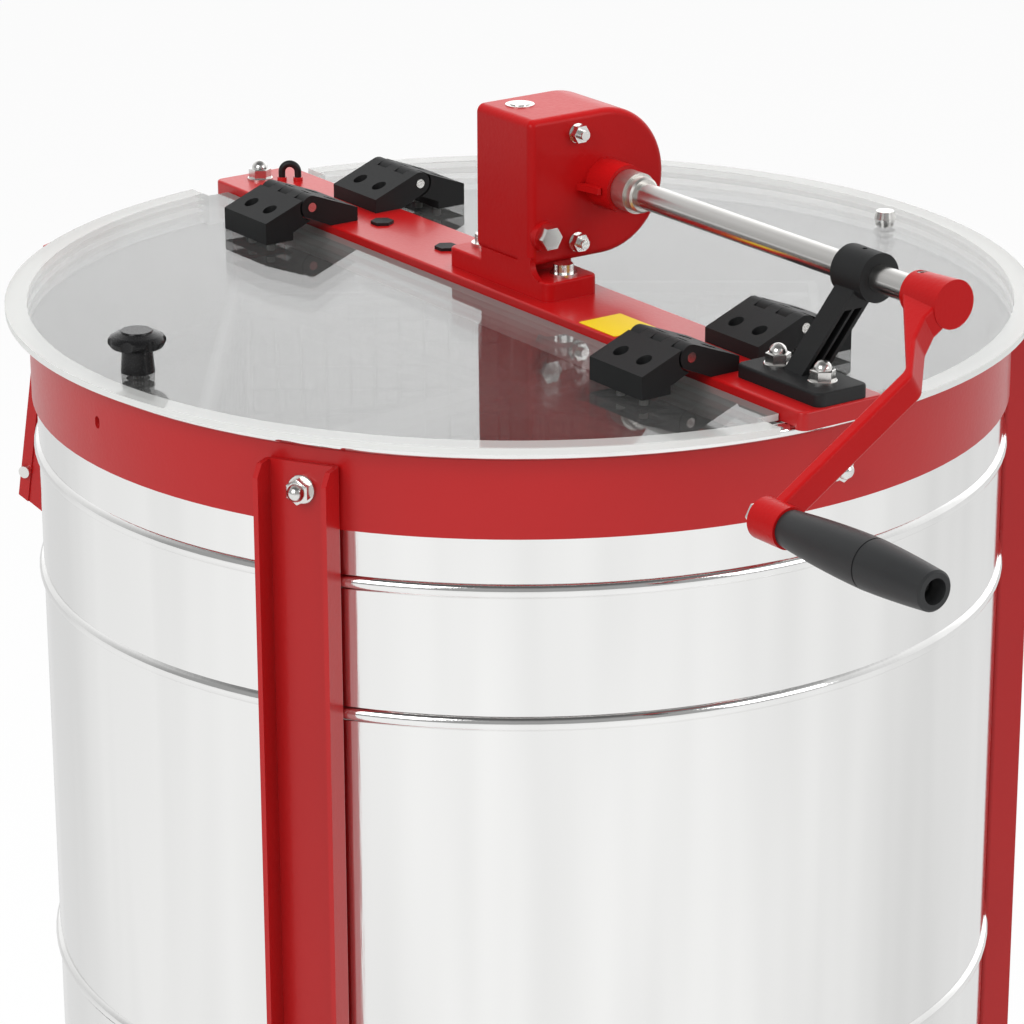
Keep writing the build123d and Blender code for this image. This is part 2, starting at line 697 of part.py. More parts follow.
output_top = shaft_height + 26 + 11.0
with BuildPart() as gearbox_bushes:
    with BuildSketch(axis_plane(box_front - box_wall)):
        with Locations((shaft_y, shaft_height)):
            Circle(bush_radius)
            Circle(shaft_radius + running_fit, mode=Mode.SUBTRACT)
    extrude(amount=boss_front - box_front + box_wall)
    with BuildSketch(axis_plane(shaft_back - 0.5)):
        with Locations((shaft_y, shaft_height)):
            Circle(bush_radius)
            Circle(shaft_radius + running_fit, mode=Mode.SUBTRACT)
    extrude(amount=rear_boss_front - shaft_back + 0.5)
    with BuildSketch(Plane.XY.offset(shaft_height + 27)):
        Circle(output_bush)
        Circle(output_radius + running_fit, mode=Mode.SUBTRACT)
    extrude(amount=10)
    with BuildSketch(Plane.XY.offset(bar_top + 2)):
        Circle(lower_bush)
        Circle(output_radius + running_fit, mode=Mode.SUBTRACT)
    extrude(amount=box_bottom + box_wall - bar_top - 2)
gearbox_bushes.part.label = "gearbox_bushes"
export_step(gearbox_bushes.part, "parts/gearbox_bushes.step")

# ---------------------------------------------------------------- crank and its train
hub_back = drum_radius + 30.0
hub_front = hub_back + 32.0
hub_small = 12.4
hub_large = 14.3
shaft_end = hub_front - 6.0

with BuildPart() as crank_shaft:
    with BuildSketch(axis_plane(shaft_back, shaft_y, shaft_height)):
        Circle(shaft_radius)
    extrude(amount=shaft_end - shaft_back)
    chamfer(crank_shaft.edges().filter_by(GeomType.CIRCLE), 0.8)
crank_shaft.part.label = "crank_shaft"
export_step(crank_shaft.part, "parts/crank_shaft.step")

# The wheel is made upright and laid down so that its axis points along +X and its first
# tooth, at rest, points at the pinion on the common normal of the two shafts.
wheel_seat = Plane(origin=(0, shaft_y, shaft_height), x_dir=(0, 1, 0), z_dir=(1, 0, 0))
with BuildPart() as wheel_gear:
    add(wheel_seat * helical_gear(wheel_teeth, wheel_width, 180))
    with BuildSketch(axis_plane(wheel_width / 2 - 0.5, shaft_y, shaft_height)):
        Circle(14)
    extrude(amount=9)
    with BuildSketch(axis_plane(-wheel_width, shaft_y, shaft_height)):
        Circle(shaft_radius)
    extrude(amount=3 * wheel_width, mode=Mode.SUBTRACT)
wheel_gear.part.label = "wheel_gear"
export_step(wheel_gear.part, "parts/wheel_gear.step")

collar_back = boss_front + air
with BuildPart() as shaft_collar:
    with BuildSketch(axis_plane(collar_back, shaft_y, shaft_height)):
        Circle(12.6)
    extrude(amount=12)
    with BuildSketch(axis_plane(collar_back + 12, shaft_y, shaft_height)):
        Circle(11)
    extrude(amount=6)
    chamfer(shaft_collar.faces().sort_by(Axis.X)[-1].edges(), 1.2)
    with BuildSketch(axis_plane(collar_back - 1, shaft_y, shaft_height)):
        Circle(shaft_radius)
    extrude(amount=30, mode=Mode.SUBTRACT)
shaft_collar.part.label = "shaft_collar"
export_step(shaft_collar.part, "parts/shaft_collar.step")

# The arm lies in the plane of the shaft axis and the crank's own direction. In that plane
# x is the object's X and y is the distance from the shaft axis.
reach_dir = Vector(0, -cos(radians(crank_angle)), -sin(radians(crank_angle)))
side_dir = Vector(1, 0, 0).cross(reach_dir)
arm_plane = Plane(origin=(0, shaft_y, shaft_height), x_dir=(1, 0, 0), z_dir=side_dir)
arm_width = 16.0
arm_back = hub_back + 51.5
arm_front = arm_back + 8.5
boss_back = arm_back - 4.0
boss_end = boss_back + 22.0
knee = 55.5
arm_round = 2.0
set_screw_x = hub_back + 4.5
grip_boss = 12.0
spindle_radius = 4.0


def crank_plane(x, reach):
    """Plane across X, centred at a distance from the shaft axis along the crank."""
    return axis_plane(x, shaft_y + reach * reach_dir.Y, shaft_height + reach * reach_dir.Z)


def arm_blank():
    """Flat arm with two bends and rounded edges, from inside the hub out to the grip."""
    with BuildPart() as blank:
        with BuildSketch(arm_plane) as arm_side:
            with BuildLine():
                Polyline((hub_back + 1, -5), (hub_back + 1, 9), (arm_back, knee),
                         (arm_back, crank_radius), (arm_front, crank_radius), (arm_front, knee + 3),
                         (hub_front + 6, 34), (hub_front - 0.5, 20), (hub_front - 0.5, -5), close=True)
            make_face()
            knees = arm_side.vertices().filter_by(lambda v: v.X > hub_front and v.Y < crank_radius / 2)
            fillet(knees, 8)
        extrude(amount=arm_width / 2, both=True)
        cheeks = blank.faces().filter_by(lambda f: abs(f.normal_at().dot(side_dir)) > 0.99)
        fillet(cheeks.edges(), arm_round)
    return blank.part


with BuildPart() as crank_arm:
    with BuildSketch(crank_plane(hub_back, 0)):
        Circle(hub_small)
    with BuildSketch(crank_plane(hub_front, 0)):
        Circle(hub_large)
    loft()
    add(arm_blank())
    with BuildSketch(crank_plane(boss_back, crank_radius)):
        Circle(grip_boss)
    extrude(amount=boss_end - boss_back)
    with BuildSketch(crank_plane(hub_back - 1, 0)):
        Circle(shaft_radius)
    extrude(amount=shaft_end - hub_back + 1, mode=Mode.SUBTRACT)
    with BuildSketch(crank_plane(boss_back - 1, crank_radius)):
        Circle(spindle_radius)
    extrude(amount=boss_end - boss_back + 2, mode=Mode.SUBTRACT)
    with BuildSketch(Plane(origin=(set_screw_x, shaft_y, shaft_height))):
        Circle(3)
    extrude(amount=30, mode=Mode.SUBTRACT)
crank_arm.part.label = "crank_arm"
export_step(crank_arm.part, "parts/crank_arm.step")

with BuildPart() as crank_set_screw:
    with BuildSketch(Plane(origin=(set_screw_x, shaft_y, shaft_height + shaft_radius))):
        Circle(3)
    extrude(amount=4)
    with BuildSketch(Plane(origin=(set_screw_x, shaft_y, shaft_height + shaft_radius + 4))):
        RegularPolygon(1.5, 6)
    extrude(amount=-2, mode=Mode.SUBTRACT)
crank_set_screw.part.label = "crank_set_screw"
export_step(crank_set_screw.part, "parts/crank_set_screw.step")

grip_back = boss_end + air
grip_length = 118.0
grip_front = grip_back + grip_length
grip_floor = grip_front - 16.0
with BuildPart() as grip_spindle:
    with BuildSketch(crank_plane(boss_back - 9, crank_radius)):
        Circle(spindle_radius)
    extrude(amount=grip_floor + air - boss_back + 9)
    with BuildSketch(crank_plane(grip_floor + air, crank_radius)):
        Circle(6)
    extrude(amount=4)
    with BuildSketch(crank_plane(boss_back - 7, crank_radius)):
        RegularPolygon(nut_flats / 2, 6, major_radius=False)
        Circle(spindle_radius + 0.01, mode=Mode.SUBTRACT)
    extrude(amount=7)
grip_spindle.part.label = "grip_spindle"
export_step(grip_spindle.part, "parts/grip_spindle.step")

seam = grip_back + 0.58 * grip_length
grip_plane = Plane(origin=crank_plane(0, crank_radius).origin, x_dir=(1, 0, 0), z_dir=side_dir)
with BuildPart() as crank_grip:
    with BuildSketch(grip_plane):
        with BuildLine():
            Line((grip_back, spindle_radius + running_fit), (grip_back, 10.6))
            Spline((grip_back, 10.6), (grip_back + 0.3 * grip_length, 13.4), (seam - 0.6, 14.4))
            Polyline((seam - 0.6, 14.4), (seam - 0.5, 13.9), (seam + 0.5, 13.9), (seam + 0.6, 14.4))
            Spline((seam + 0.6, 14.4), (grip_back + 0.8 * grip_length, 13.2), (grip_front - 1.2, 11.4))
            Polyline((grip_front - 1.2, 11.4), (grip_front, 10.2), (grip_front, 7.2), (grip_floor, 7.2),
                     (grip_floor, spindle_radius + running_fit), (grip_back, spindle_radius + running_fit))
        make_face()
    revolve(axis=Axis(origin=crank_plane(0, crank_radius).origin, direction=(1, 0, 0)))
crank_grip.part.label = "crank_grip"
export_step(crank_grip.part, "parts/crank_grip.step")

# ---------------------------------------------------------------- shaft support
base_near = drum_radius + 11.5
base_far = base_near - 75.5
ring_back = drum_radius - 28.0
ring_front = drum_radius - 2.0
ring_radius = 14.5
ring_middle = (ring_back + ring_front) / 2
support_width = 16.0
support_depth = 19.0
support_foot = Vector(drum_radius - 29.5, 6.5, base_top)
support_lean = Vector(ring_middle, shaft_y, shaft_height) - support_foot
groove_depth = 5.0
groove_width = 5.5
with BuildPart() as shaft_support:
    with BuildSketch(Plane.XY.offset(bar_top)):
        with Locations(((base_near + base_far) / 2, 1)):
            RectangleRounded(base_near - base_far, 37, 5)
    extrude(amount=base_top - bar_top)
    fillet(shaft_support.faces().sort_by(Axis.Z)[-1].edges(), 1.5)
    with BuildSketch(Plane(origin=support_foot)):
        Rectangle(support_width, support_depth)
    extrude(amount=support_lean.length, dir=support_lean.normalized())
    with BuildSketch(Plane(origin=support_foot + support_lean * 0.06)):
        for way in [-1, 1]:
            for groove_side in [-1, 1]:
                with Locations((way * support_width / 2, groove_side * (groove_width / 2 + 1))):
                    Rectangle(2 * groove_depth, groove_width)
    extrude(amount=support_lean.length * 0.6, dir=support_lean.normalized(), mode=Mode.SUBTRACT)
    with BuildSketch(axis_plane(ring_back, shaft_y, shaft_height)):
        Circle(ring_radius)
    extrude(amount=ring_front - ring_back)
    with BuildSketch(axis_plane(ring_back - 5, shaft_y, shaft_height)):
        Circle(shaft_radius + running_fit)
    extrude(amount=ring_front - ring_back + 10, mode=Mode.SUBTRACT)
    with BuildSketch(Plane.XY.offset(bar_top - 1)):
        with Locations([bar_bolt_places[bar_bolt_reach], bar_bolt_places[support_bolt_reach]]):
            Circle(m8_hole)
    extrude(amount=12, mode=Mode.SUBTRACT)
    with BuildSketch(Plane(origin=(ring_middle, shaft_y, shaft_height))):
        Circle(1.5)
    extrude(amount=20, mode=Mode.SUBTRACT)
shaft_support.part.label = "shaft_support"
export_step(shaft_support.part, "parts/shaft_support.step")

# ---------------------------------------------------------------- hinges
pin_rise = 14.5
pin_height = bar_top + pin_rise
pin_radius = 3.0
knuckle = 7.5
leaf_edge = 9.0
leaf_heel = 14.5
leaf_seat = 5.0             # the screw heads sit this high above the foot of the leaf
screw_recess = 4.6
fingers = 5
finger_room = knuckle + 1.3
finger = hinge_length / fingers


def tangent_point(x, y, upper):
    """Point where a line from (x, y) touches the knuckle circle centred on (0, pin_rise)."""
    away = Vector(-x, pin_rise - y, 0)
    distance = away.length
    swing = degrees(atan(knuckle / sqrt(distance**2 - knuckle**2)))
    if upper:
        swing = -swing
    run = sqrt(distance**2 - knuckle**2) / distance
    line = away.rotate(Axis.Z, swing) * run
    return (x + line.X, y + line.Y)


def hinge_leaf(x, y, side, first, bore):
    """Wedge leaf with countersunk screw holes and knuckle fingers about a pin at (x, y).

    side is +1 for a leaf that runs towards +Y from its pin and -1 for one that runs towards -Y.
    first is the number of the first finger that belongs to the other leaf.
    """
    upper = tangent_point(leaf_reach, leaf_edge, True)
    lower = tangent_point(leaf_heel, 0, False)
    outline = [(leaf_reach, 0), (leaf_reach, leaf_edge), upper, (0, pin_rise), lower, (leaf_heel, 0)]
    with BuildPart() as leaf:
        with BuildSketch(axis_plane(x - hinge_length / 2, y, bar_top)):
            with BuildLine():
                Polyline(*[(side * u, v) for u, v in outline], close=True)
            make_face()
            with Locations((0, pin_rise)):
                Circle(knuckle)
        extrude(amount=hinge_length)
        for number in range(first, fingers, 2):
            slot_start = x - hinge_length / 2 + number * finger - air / 2
            with BuildSketch(axis_plane(slot_start, y, pin_height)):
                Circle(finger_room)
            extrude(amount=finger + air, mode=Mode.SUBTRACT)
        with BuildSketch(axis_plane(x - hinge_length, y, pin_height)):
            Circle(bore)
        extrude(amount=2 * hinge_length, mode=Mode.SUBTRACT)
        with BuildSketch(Plane.XY.offset(bar_top + leaf_seat)):
            with Locations([(x + dx, y + side * leaf_screw) for dx in screw_steps]):
                Circle(screw_recess)
        extrude(amount=30, mode=Mode.SUBTRACT)
        with BuildSketch(Plane.XY.offset(bar_top)):
            with Locations([(x + dx, y + side * leaf_screw) for dx in screw_steps]):
                Circle(screw_hole)
        extrude(amount=leaf_seat, mode=Mode.SUBTRACT)
    return leaf.part


def leaf_screws(x, y, side, under):
    """Socket screws of one leaf, each with a hex nut under the sheet that it goes through."""
    places = [(x + dx, y + side * leaf_screw) for dx in screw_steps]
    with BuildPart() as screws:
        with BuildSketch(Plane.XY.offset(bar_top + leaf_seat)):
            with Locations(places):
                Circle(screw_recess - air)
        extrude(amount=2.6)
        with BuildSketch(Plane.XY.offset(under - 4)):
            with Locations(places):
                Circle(2.5)
        extrude(amount=bar_top + leaf_seat - under + 4)
        with BuildSketch(Plane.XY.offset(bar_top + leaf_seat + 2.6)):
            with Locations(places):
                RegularPolygon(1.5, 6)
        extrude(amount=-1.4, mode=Mode.SUBTRACT)
        with BuildSketch(Plane.XY.offset(under - 3)):
            with Locations(places):
                RegularPolygon(4, 6, major_radius=False)
        extrude(amount=3)
    return screws.part


with BuildPart() as hinge_bar_leaves:
    for hinge_x, side in all_hinges:
        add(hinge_leaf(hinge_x, side * pin_y, -side, 1, pin_radius))
hinge_bar_leaves.part.label = "hinge_bar_leaves"
export_step(hinge_bar_leaves.part, "parts/hinge_bar_leaves.step")

with BuildPart() as hinge_pins:
    for hinge_x, side in all_hinges:
        with BuildSketch(axis_plane(hinge_x - hinge_length / 2 - 0.6, side * pin_y, pin_height)):
            Circle(pin_radius)
        extrude(amount=hinge_length + 1.2)
hinge_pins.part.label = "hinge_pins"
export_step(hinge_pins.part, "parts/hinge_pins.step")

with BuildPart() as hinge_bar_screws:
    for hinge_x, side in all_hinges:
        add(leaf_screws(hinge_x, side * pin_y, -side, bar_under))
hinge_bar_screws.part.label = "hinge_bar_screws"
export_step(hinge_bar_screws.part, "parts/hinge_bar_screws.step")

for lid_name, side in [("front", -1), ("rear", 1)]:
    with BuildPart() as lid_leaves:
        for hinge_x in hinge_places[side]:
            add(hinge_leaf(hinge_x, side * pin_y, side, 0, pin_radius + running_fit))
    lid_leaves.part.label = lid_name + "_lid_leaves"
    export_step(lid_leaves.part, "parts/" + lid_name + "_lid_leaves.step")

    with BuildPart() as leaf_spacers:
        with BuildSketch(Plane.XY.offset(lid_top)):
            for hinge_x in hinge_places[side]:
                with Locations((hinge_x, side * (pin_y + (leaf_reach + leaf_heel) / 2))):
                    Rectangle(hinge_length, leaf_reach - leaf_heel)
        extrude(amount=bar_top - lid_top)
        with BuildSketch(Plane.XY.offset(lid_top)):
            for hinge_x in hinge_places[side]:
                for dx in screw_steps:
                    with Locations((hinge_x + dx, side * (pin_y + leaf_screw))):
                        Circle(screw_hole)
        extrude(amount=bar_top - lid_top, mode=Mode.SUBTRACT)
    leaf_spacers.part.label = lid_name + "_leaf_spacers"
    export_step(leaf_spacers.part, "parts/" + lid_name + "_leaf_spacers.step")

    with BuildPart() as lid_screws:
        for hinge_x in hinge_places[side]:
            add(leaf_screws(hinge_x, side * pin_y, side, lid_under))
    lid_screws.part.label = lid_name + "_leaf_screws"
    export_step(lid_screws.part, "parts/" + lid_name + "_leaf_screws.step")

# ---------------------------------------------------------------- lids
lid_radius = drum_radius + lid_overhang
lid_edge = bar_width / 2 + 1.0
relief_depth = pin_y - lid_edge + 1.5
relief_start = drum_radius - 7.0
lid_handle = (14.0, drum_radius - 18.0)


def make_lid(side):
    """Half disc beside the bar, relieved at both ends of its straight edge to clear the rim."""
    with BuildPart() as lid:
        with BuildSketch(Plane.XY.offset(lid_under)):
            Circle(lid_radius)
            with Locations((0, side * (lid_edge - lid_radius))):
                Rectangle(2 * lid_radius, 2 * lid_radius, mode=Mode.SUBTRACT)
            for end in [-1, 1]:
                with Locations((end * (relief_start + 20), side * (lid_edge + relief_depth / 2))):
                    Rectangle(40, relief_depth, mode=Mode.SUBTRACT)
            with Locations((lid_handle[0], side * lid_handle[1])):
                Circle(3, mode=Mode.SUBTRACT)
            for hinge_x in hinge_places[side]:
                for dx in screw_steps:
                    with Locations((hinge_x + dx, side * (pin_y + leaf_screw))):
                        Circle(screw_hole, mode=Mode.SUBTRACT)
        extrude(amount=lid_thickness)
    return lid.part


front_lid = make_lid(-1)
front_lid.label = "front_lid"
export_step(front_lid, "parts/front_lid.step")

rear_lid = make_lid(1)
rear_lid.label = "rear_lid"
export_step(rear_lid, "parts/rear_lid.step")

knob_neck = 9.4
knob_head = 17.0
knob_height = 25.0
knob_under = knob_height - 11.0
knob_middle = knob_height - 6.0
knob_cap = 9.4
knob_lobes = 7
flute_radius = 6.0
with BuildPart() as front_lid_knob:
    knob_plane = Plane(origin=(lid_handle[0], -lid_handle[1], lid_top))
    knob_section = Plane(origin=knob_plane.origin, x_dir=(1, 0, 0), z_dir=(0, -1, 0))
    with BuildSketch(knob_section):
        with BuildLine():
            Polyline((0, knob_under), (knob_head - 5, knob_under), (knob_head - 2, knob_under + 1.2))
            Spline((knob_head - 2, knob_under + 1.2), (knob_head, knob_middle),
                   (knob_head - 3, knob_height - 2.6))
            Polyline((knob_head - 3, knob_height - 2.6), (knob_cap + 0.6, knob_height - 1),
                     (knob_cap, knob_height - 1), (knob_cap - 0.4, knob_height), (0, knob_height),
                     (0, knob_under))
        make_face()
    revolve(axis=Axis(origin=knob_plane.origin, direction=(0, 0, 1)))
    with BuildSketch(knob_plane.offset(knob_under - 1)):
        with PolarLocations(knob_head + flute_radius - 1.8, knob_lobes):
            Circle(flute_radius)
    extrude(amount=knob_height, mode=Mode.SUBTRACT)
    with BuildSketch(knob_plane):
        Circle(knob_neck + 0.6)
    with BuildSketch(knob_plane.offset(knob_under + 1)):
        Circle(knob_neck - 0.6)
    loft()
    with BuildSketch(knob_plane.offset(-lid_thickness - 4)):
        Circle(7)
    extrude(amount=4)
    with BuildSketch(knob_plane.offset(-lid_thickness)):
        Circle(3)
    extrude(amount=lid_thickness)
front_lid_knob.part.label = "front_lid_knob"
export_step(front_lid_knob.part, "parts/front_lid_knob.step")

with BuildPart() as rear_lid_button:
    button_plane = Plane(origin=(lid_handle[0], lid_handle[1], lid_top))
    with BuildSketch(button_plane):
        Circle(7)
    extrude(amount=5, taper=12)
    with BuildSketch(button_plane.offset(-lid_thickness)):
        Circle(3)
    extrude(amount=lid_thickness)
    with BuildSketch(button_plane.offset(-lid_thickness - 4)):
        Circle(5.5)
    extrude(amount=4)
rear_lid_button.part.label = "rear_lid_button"
export_step(rear_lid_button.part, "parts/rear_lid_button.step")

# ---------------------------------------------------------------- basket and its drive
with BuildPart() as pinion_gear:
    gap_angle = 90 + 180 / pinion_teeth
    add(Pos(0, 0, shaft_height) * helical_gear(pinion_teeth, pinion_width, gap_angle))
    with BuildSketch(Plane.XY.offset(shaft_height - pinion_width)):
        Circle(output_radius)
    extrude(amount=2 * pinion_width, mode=Mode.SUBTRACT)
pinion_gear.part.label = "pinion_gear"
export_step(pinion_gear.part, "parts/pinion_gear.step")

output_bottom = rim_height - 24.0
coupling_bottom = rim_height - 48.0
coupling_top = rim_height - 2.0
with BuildPart() as output_shaft:
    with BuildSketch(Plane.XY.offset(output_bottom)):
        Circle(output_radius)
    extrude(amount=output_top - output_bottom)
output_shaft.part.label = "output_shaft"
export_step(output_shaft.part, "parts/output_shaft.step")

basket_shaft_radius = 7.5
with BuildPart() as shaft_coupling:
    with BuildSketch(Plane.XY.offset(coupling_bottom)):
        Circle(13)
    extrude(amount=coupling_top - coupling_bottom)
    with BuildSketch(Plane.XY.offset(output_bottom)):
        Circle(output_radius)
    extrude(amount=coupling_top - output_bottom, mode=Mode.SUBTRACT)
    with BuildSketch(Plane.XY.offset(coupling_bottom)):
        Circle(basket_shaft_radius)
    extrude(amount=output_bottom - coupling_bottom, mode=Mode.SUBTRACT)
    for screw_height in [coupling_top - 10, coupling_bottom + 10]:
        with BuildSketch(radial_plane(30, 0, screw_height)):
            Circle(2.5)
        extrude(amount=20, mode=Mode.SUBTRACT)
shaft_coupling.part.label = "shaft_coupling"
export_step(shaft_coupling.part, "parts/shaft_coupling.step")

cup_height = 12.0
ball_radius = 5.0
ball_centre = cone_top + cup_height + 1.0
shaft_foot = ball_centre + 2.5
with BuildPart() as basket_shaft:
    with BuildSketch(Plane.XY.offset(shaft_foot)):
        Circle(basket_shaft_radius)
    extrude(amount=output_bottom - shaft_foot)
    with Locations((0, 0, ball_centre)):
        Sphere(ball_radius + air, mode=Mode.SUBTRACT)
basket_shaft.part.label = "basket_shaft"
export_step(basket_shaft.part, "parts/basket_shaft.step")

with BuildPart() as bearing_cup:
    with BuildSketch(Plane.XY.offset(cone_top)):
        Circle(20)
    extrude(amount=5)
    with BuildSketch(Plane.XY.offset(cone_top + 5)):
        Circle(11)
    extrude(amount=cup_height - 5)
    with Locations((0, 0, ball_centre)):
        Sphere(ball_radius, mode=Mode.SUBTRACT)
bearing_cup.part.label = "bearing_cup"
export_step(bearing_cup.part, "parts/bearing_cup.step")

with BuildPart() as bearing_ball:
    with Locations((0, 0, ball_centre)):
        Sphere(ball_radius)
bearing_ball.part.label = "bearing_ball"
export_step(bearing_ball.part, "parts/bearing_ball.step")

basket_turn = -36.0         # direction that one screen faces at rest
screen_distance = 0.63 * drum_radius
screen_half = 0.6 * drum_radius
basket_top = rim_height - 50.0
basket_bottom = cone_top + 40.0
rod = 3.0
screen_sides = [basket_turn + 90 * k for k in range(4)]


def upright_plane(angle, distance, across, height):
    """Horizontal plane at a place given by a screen's direction, its distance and a sideways step."""
    c = cos(radians(angle))
    s = sin(radians(angle))
    return Plane(origin=(distance * c - across * s, distance * s + across * c, height),
                 x_dir=(c, s, 0), z_dir=(0, 0, 1))


post_distance = screen_distance + rod
with BuildPart() as basket_frame:
    for screen_side in screen_sides:
        for height in [basket_bottom, basket_top - 2 * rod]:
            with BuildSketch(upright_plane(screen_side, post_distance, 0, height)):
                Rectangle(2 * rod, 2 * post_distance + 2 * rod)
            extrude(amount=2 * rod)
        with BuildSketch(upright_plane(screen_side, post_distance, post_distance, basket_bottom)):
            RectangleRounded(2 * rod, 2 * rod, 1)
        extrude(amount=basket_top - basket_bottom)
    for height in [basket_bottom + 2 * rod, basket_top - 4 * rod]:
        with BuildSketch(Plane.XY.offset(height)):
            Circle(14)
        extrude(amount=2 * rod)
        for screen_side in screen_sides:
            reach = sqrt(2) * post_distance
            with BuildSketch(upright_plane(screen_side + 45, reach / 2, 0, height)):
                Rectangle(reach, 16)
            extrude(amount=2 * rod)
    for screen_side in screen_sides:
        with BuildSketch(upright_plane(screen_side, post_distance + rod + 50, 0, basket_bottom - 10)):
            Rectangle(100, 4 * post_distance)
        extrude(amount=drum_height, mode=Mode.SUBTRACT)
    with BuildSketch(Plane.XY.offset(basket_bottom - 10)):
        Circle(basket_shaft_radius)
    extrude(amount=drum_height, mode=Mode.SUBTRACT)
basket_frame.part.label = "basket_frame"
export_step(basket_frame.part, "parts/basket_frame.step")

mesh_pitch = 48.0
mesh_wire = 3.0
screen_height = basket_top - basket_bottom - 4 * rod
mesh_columns = int(2 * post_distance / mesh_pitch)
mesh_rows = int(screen_height / mesh_pitch)
with BuildPart() as mesh_screens:
    for screen_side in screen_sides:
        centre_height = (basket_top + basket_bottom) / 2
        with BuildSketch(radial_plane(screen_side, post_distance - rod - mesh_wire, centre_height)):
            with GridLocations(2 * post_distance / mesh_columns, 0, mesh_columns - 1, 1):
                Rectangle(mesh_wire, screen_height + 4 * rod)
        extrude(amount=mesh_wire)
        with BuildSketch(radial_plane(screen_side, post_distance - rod - 2 * mesh_wire, centre_height)):
            with GridLocations(0, screen_height / mesh_rows, 1, mesh_rows - 1):
                Rectangle(2 * post_distance - 4 * rod - 4 * mesh_wire, mesh_wire)
        extrude(amount=mesh_wire)
mesh_screens.part.label = "mesh_screens"
export_step(mesh_screens.part, "parts/mesh_screens.step")

# ---------------------------------------------------------------- honey gate
pipe_end = drum_radius + 40.0
gate_thickness = 6.0
flap_thickness = 5.0
gate_plate = pipe_end
flap_plate = gate_plate + gate_thickness + air
pivot_across = 40.0

with BuildPart() as outlet_pipe:
    with BuildSketch(radial_plane(gate_angle, pipe_start, outlet_height)):
        Circle(outlet_radius)
        Circle(outlet_bore, mode=Mode.SUBTRACT)
    extrude(amount=pipe_end - pipe_start)
outlet_pipe.part.label = "outlet_pipe"
export_step(outlet_pipe.part, "parts/outlet_pipe.step")

with BuildPart() as gate_body:
    with BuildSketch(radial_plane(gate_angle, gate_plate, outlet_height)) as gate_face:
        Circle(35)
        with Locations((pivot_across, 0), (-pivot_across, 0)):
            Circle(12)
        with Locations((0, 0)):
            Rectangle(2 * pivot_across, 24)
        Circle(outlet_bore, mode=Mode.SUBTRACT)
        with Locations((pivot_across, 0), (-pivot_across, 0)):
            Circle(m8, mode=Mode.SUBTRACT)
    extrude(amount=gate_thickness)
gate_body.part.label = "gate_body"
export_step(gate_body.part, "parts/gate_body.step")

with BuildPart() as gate_bolts:
    for across_step in [pivot_across, -pivot_across]:
        bolt_plane = radial_plane(gate_angle, gate_plate, outlet_height)
        with BuildSketch(bolt_plane.offset(-3)):
            with Locations((across_step, 0)):
                Circle(bolt_head)
        extrude(amount=3)
        with BuildSketch(bolt_plane):
            with Locations((across_step, 0)):
                Circle(m8)
        extrude(amount=gate_thickness + flap_thickness + 14)
    nut_plane = radial_plane(gate_angle, flap_plate + flap_thickness + air, outlet_height)
    with BuildSketch(nut_plane):
        with Locations((pivot_across, 0)):
            RegularPolygon(nut_flats / 2, 6, major_radius=False)
            Circle(m8 + 0.01, mode=Mode.SUBTRACT)
    extrude(amount=6.5)
gate_bolts.part.label = "gate_bolts"
export_step(gate_bolts.part, "parts/gate_bolts.step")

with BuildPart() as gate_flap:
    with BuildSketch(radial_plane(gate_angle, flap_plate, outlet_height)):
        Circle(31)
        with Locations((pivot_across, 0)):
            Circle(12)
        with Locations((pivot_across / 2, 0)):
            Rectangle(pivot_across, 24)
        with Locations((-(31 + 60) / 2 - 10, 10)):
            Rectangle(70, 26)
        with Locations((-pivot_across, -8)):
            Rectangle(2 * m8 + 2, 16 + 2 * m8 + 2, mode=Mode.SUBTRACT)
        with Locations((pivot_across, 0)):
            Circle(m8 + running_fit, mode=Mode.SUBTRACT)
    extrude(amount=flap_thickness)
gate_flap.part.label = "gate_flap"
export_step(gate_flap.part, "parts/gate_flap.step")

with BuildPart() as gate_knob:
    knob_seat = radial_plane(gate_angle, flap_plate + flap_thickness + air, outlet_height)
    with BuildSketch(knob_seat):
        with Locations((-pivot_across, 0)):
            Circle(9)
    extrude(amount=8)
    with BuildSketch(knob_seat.offset(3)):
        with Locations((-pivot_across, 0)):
            SlotOverall(38, 8)
    extrude(amount=9)
    with BuildSketch(knob_seat.offset(-1)):
        with Locations((-pivot_across, 0)):
            Circle(m8 + running_fit)
    extrude(amount=14, mode=Mode.SUBTRACT)
gate_knob.part.label = "gate_knob"
export_step(gate_knob.part, "parts/gate_knob.step")

# ---------------------------------------------------------------- side bracket
bracket_angle = -152
bracket_half = 34.0
bracket_wall = 2.0
bracket_top = rim_height - 2.0
bracket_drop = 174.0
bracket_lip = 7.0           # the outer sheet laps over the cheeks by this much
lip_sheet = 1.2
wall_gap = 0.05
top_reach = drum_radius + 26.0
low_reach = drum_radius + 54.0
plate_radius = band_outer + wall_gap
cheek_start = plate_radius + 2.5
bead_clear = rim_centre + rim_bead_radius + 1.0
shoulder = 2 * rim_bead_radius
side_plane = radial_plane(bracket_angle - 90, 0, bracket_top)
side_screw_height = rim_height - 29.0


def bracket_profile(inset):
    """Side outline of the bracket: flat top behind the rim, sloping face and a foot cut upwards."""
    return [(cheek_start, -shoulder), (bead_clear, -shoulder), (bead_clear, -inset),
            (top_reach - inset, -inset), (low_reach - inset, -bracket_drop),
            (cheek_start, -bracket_drop - 28)]


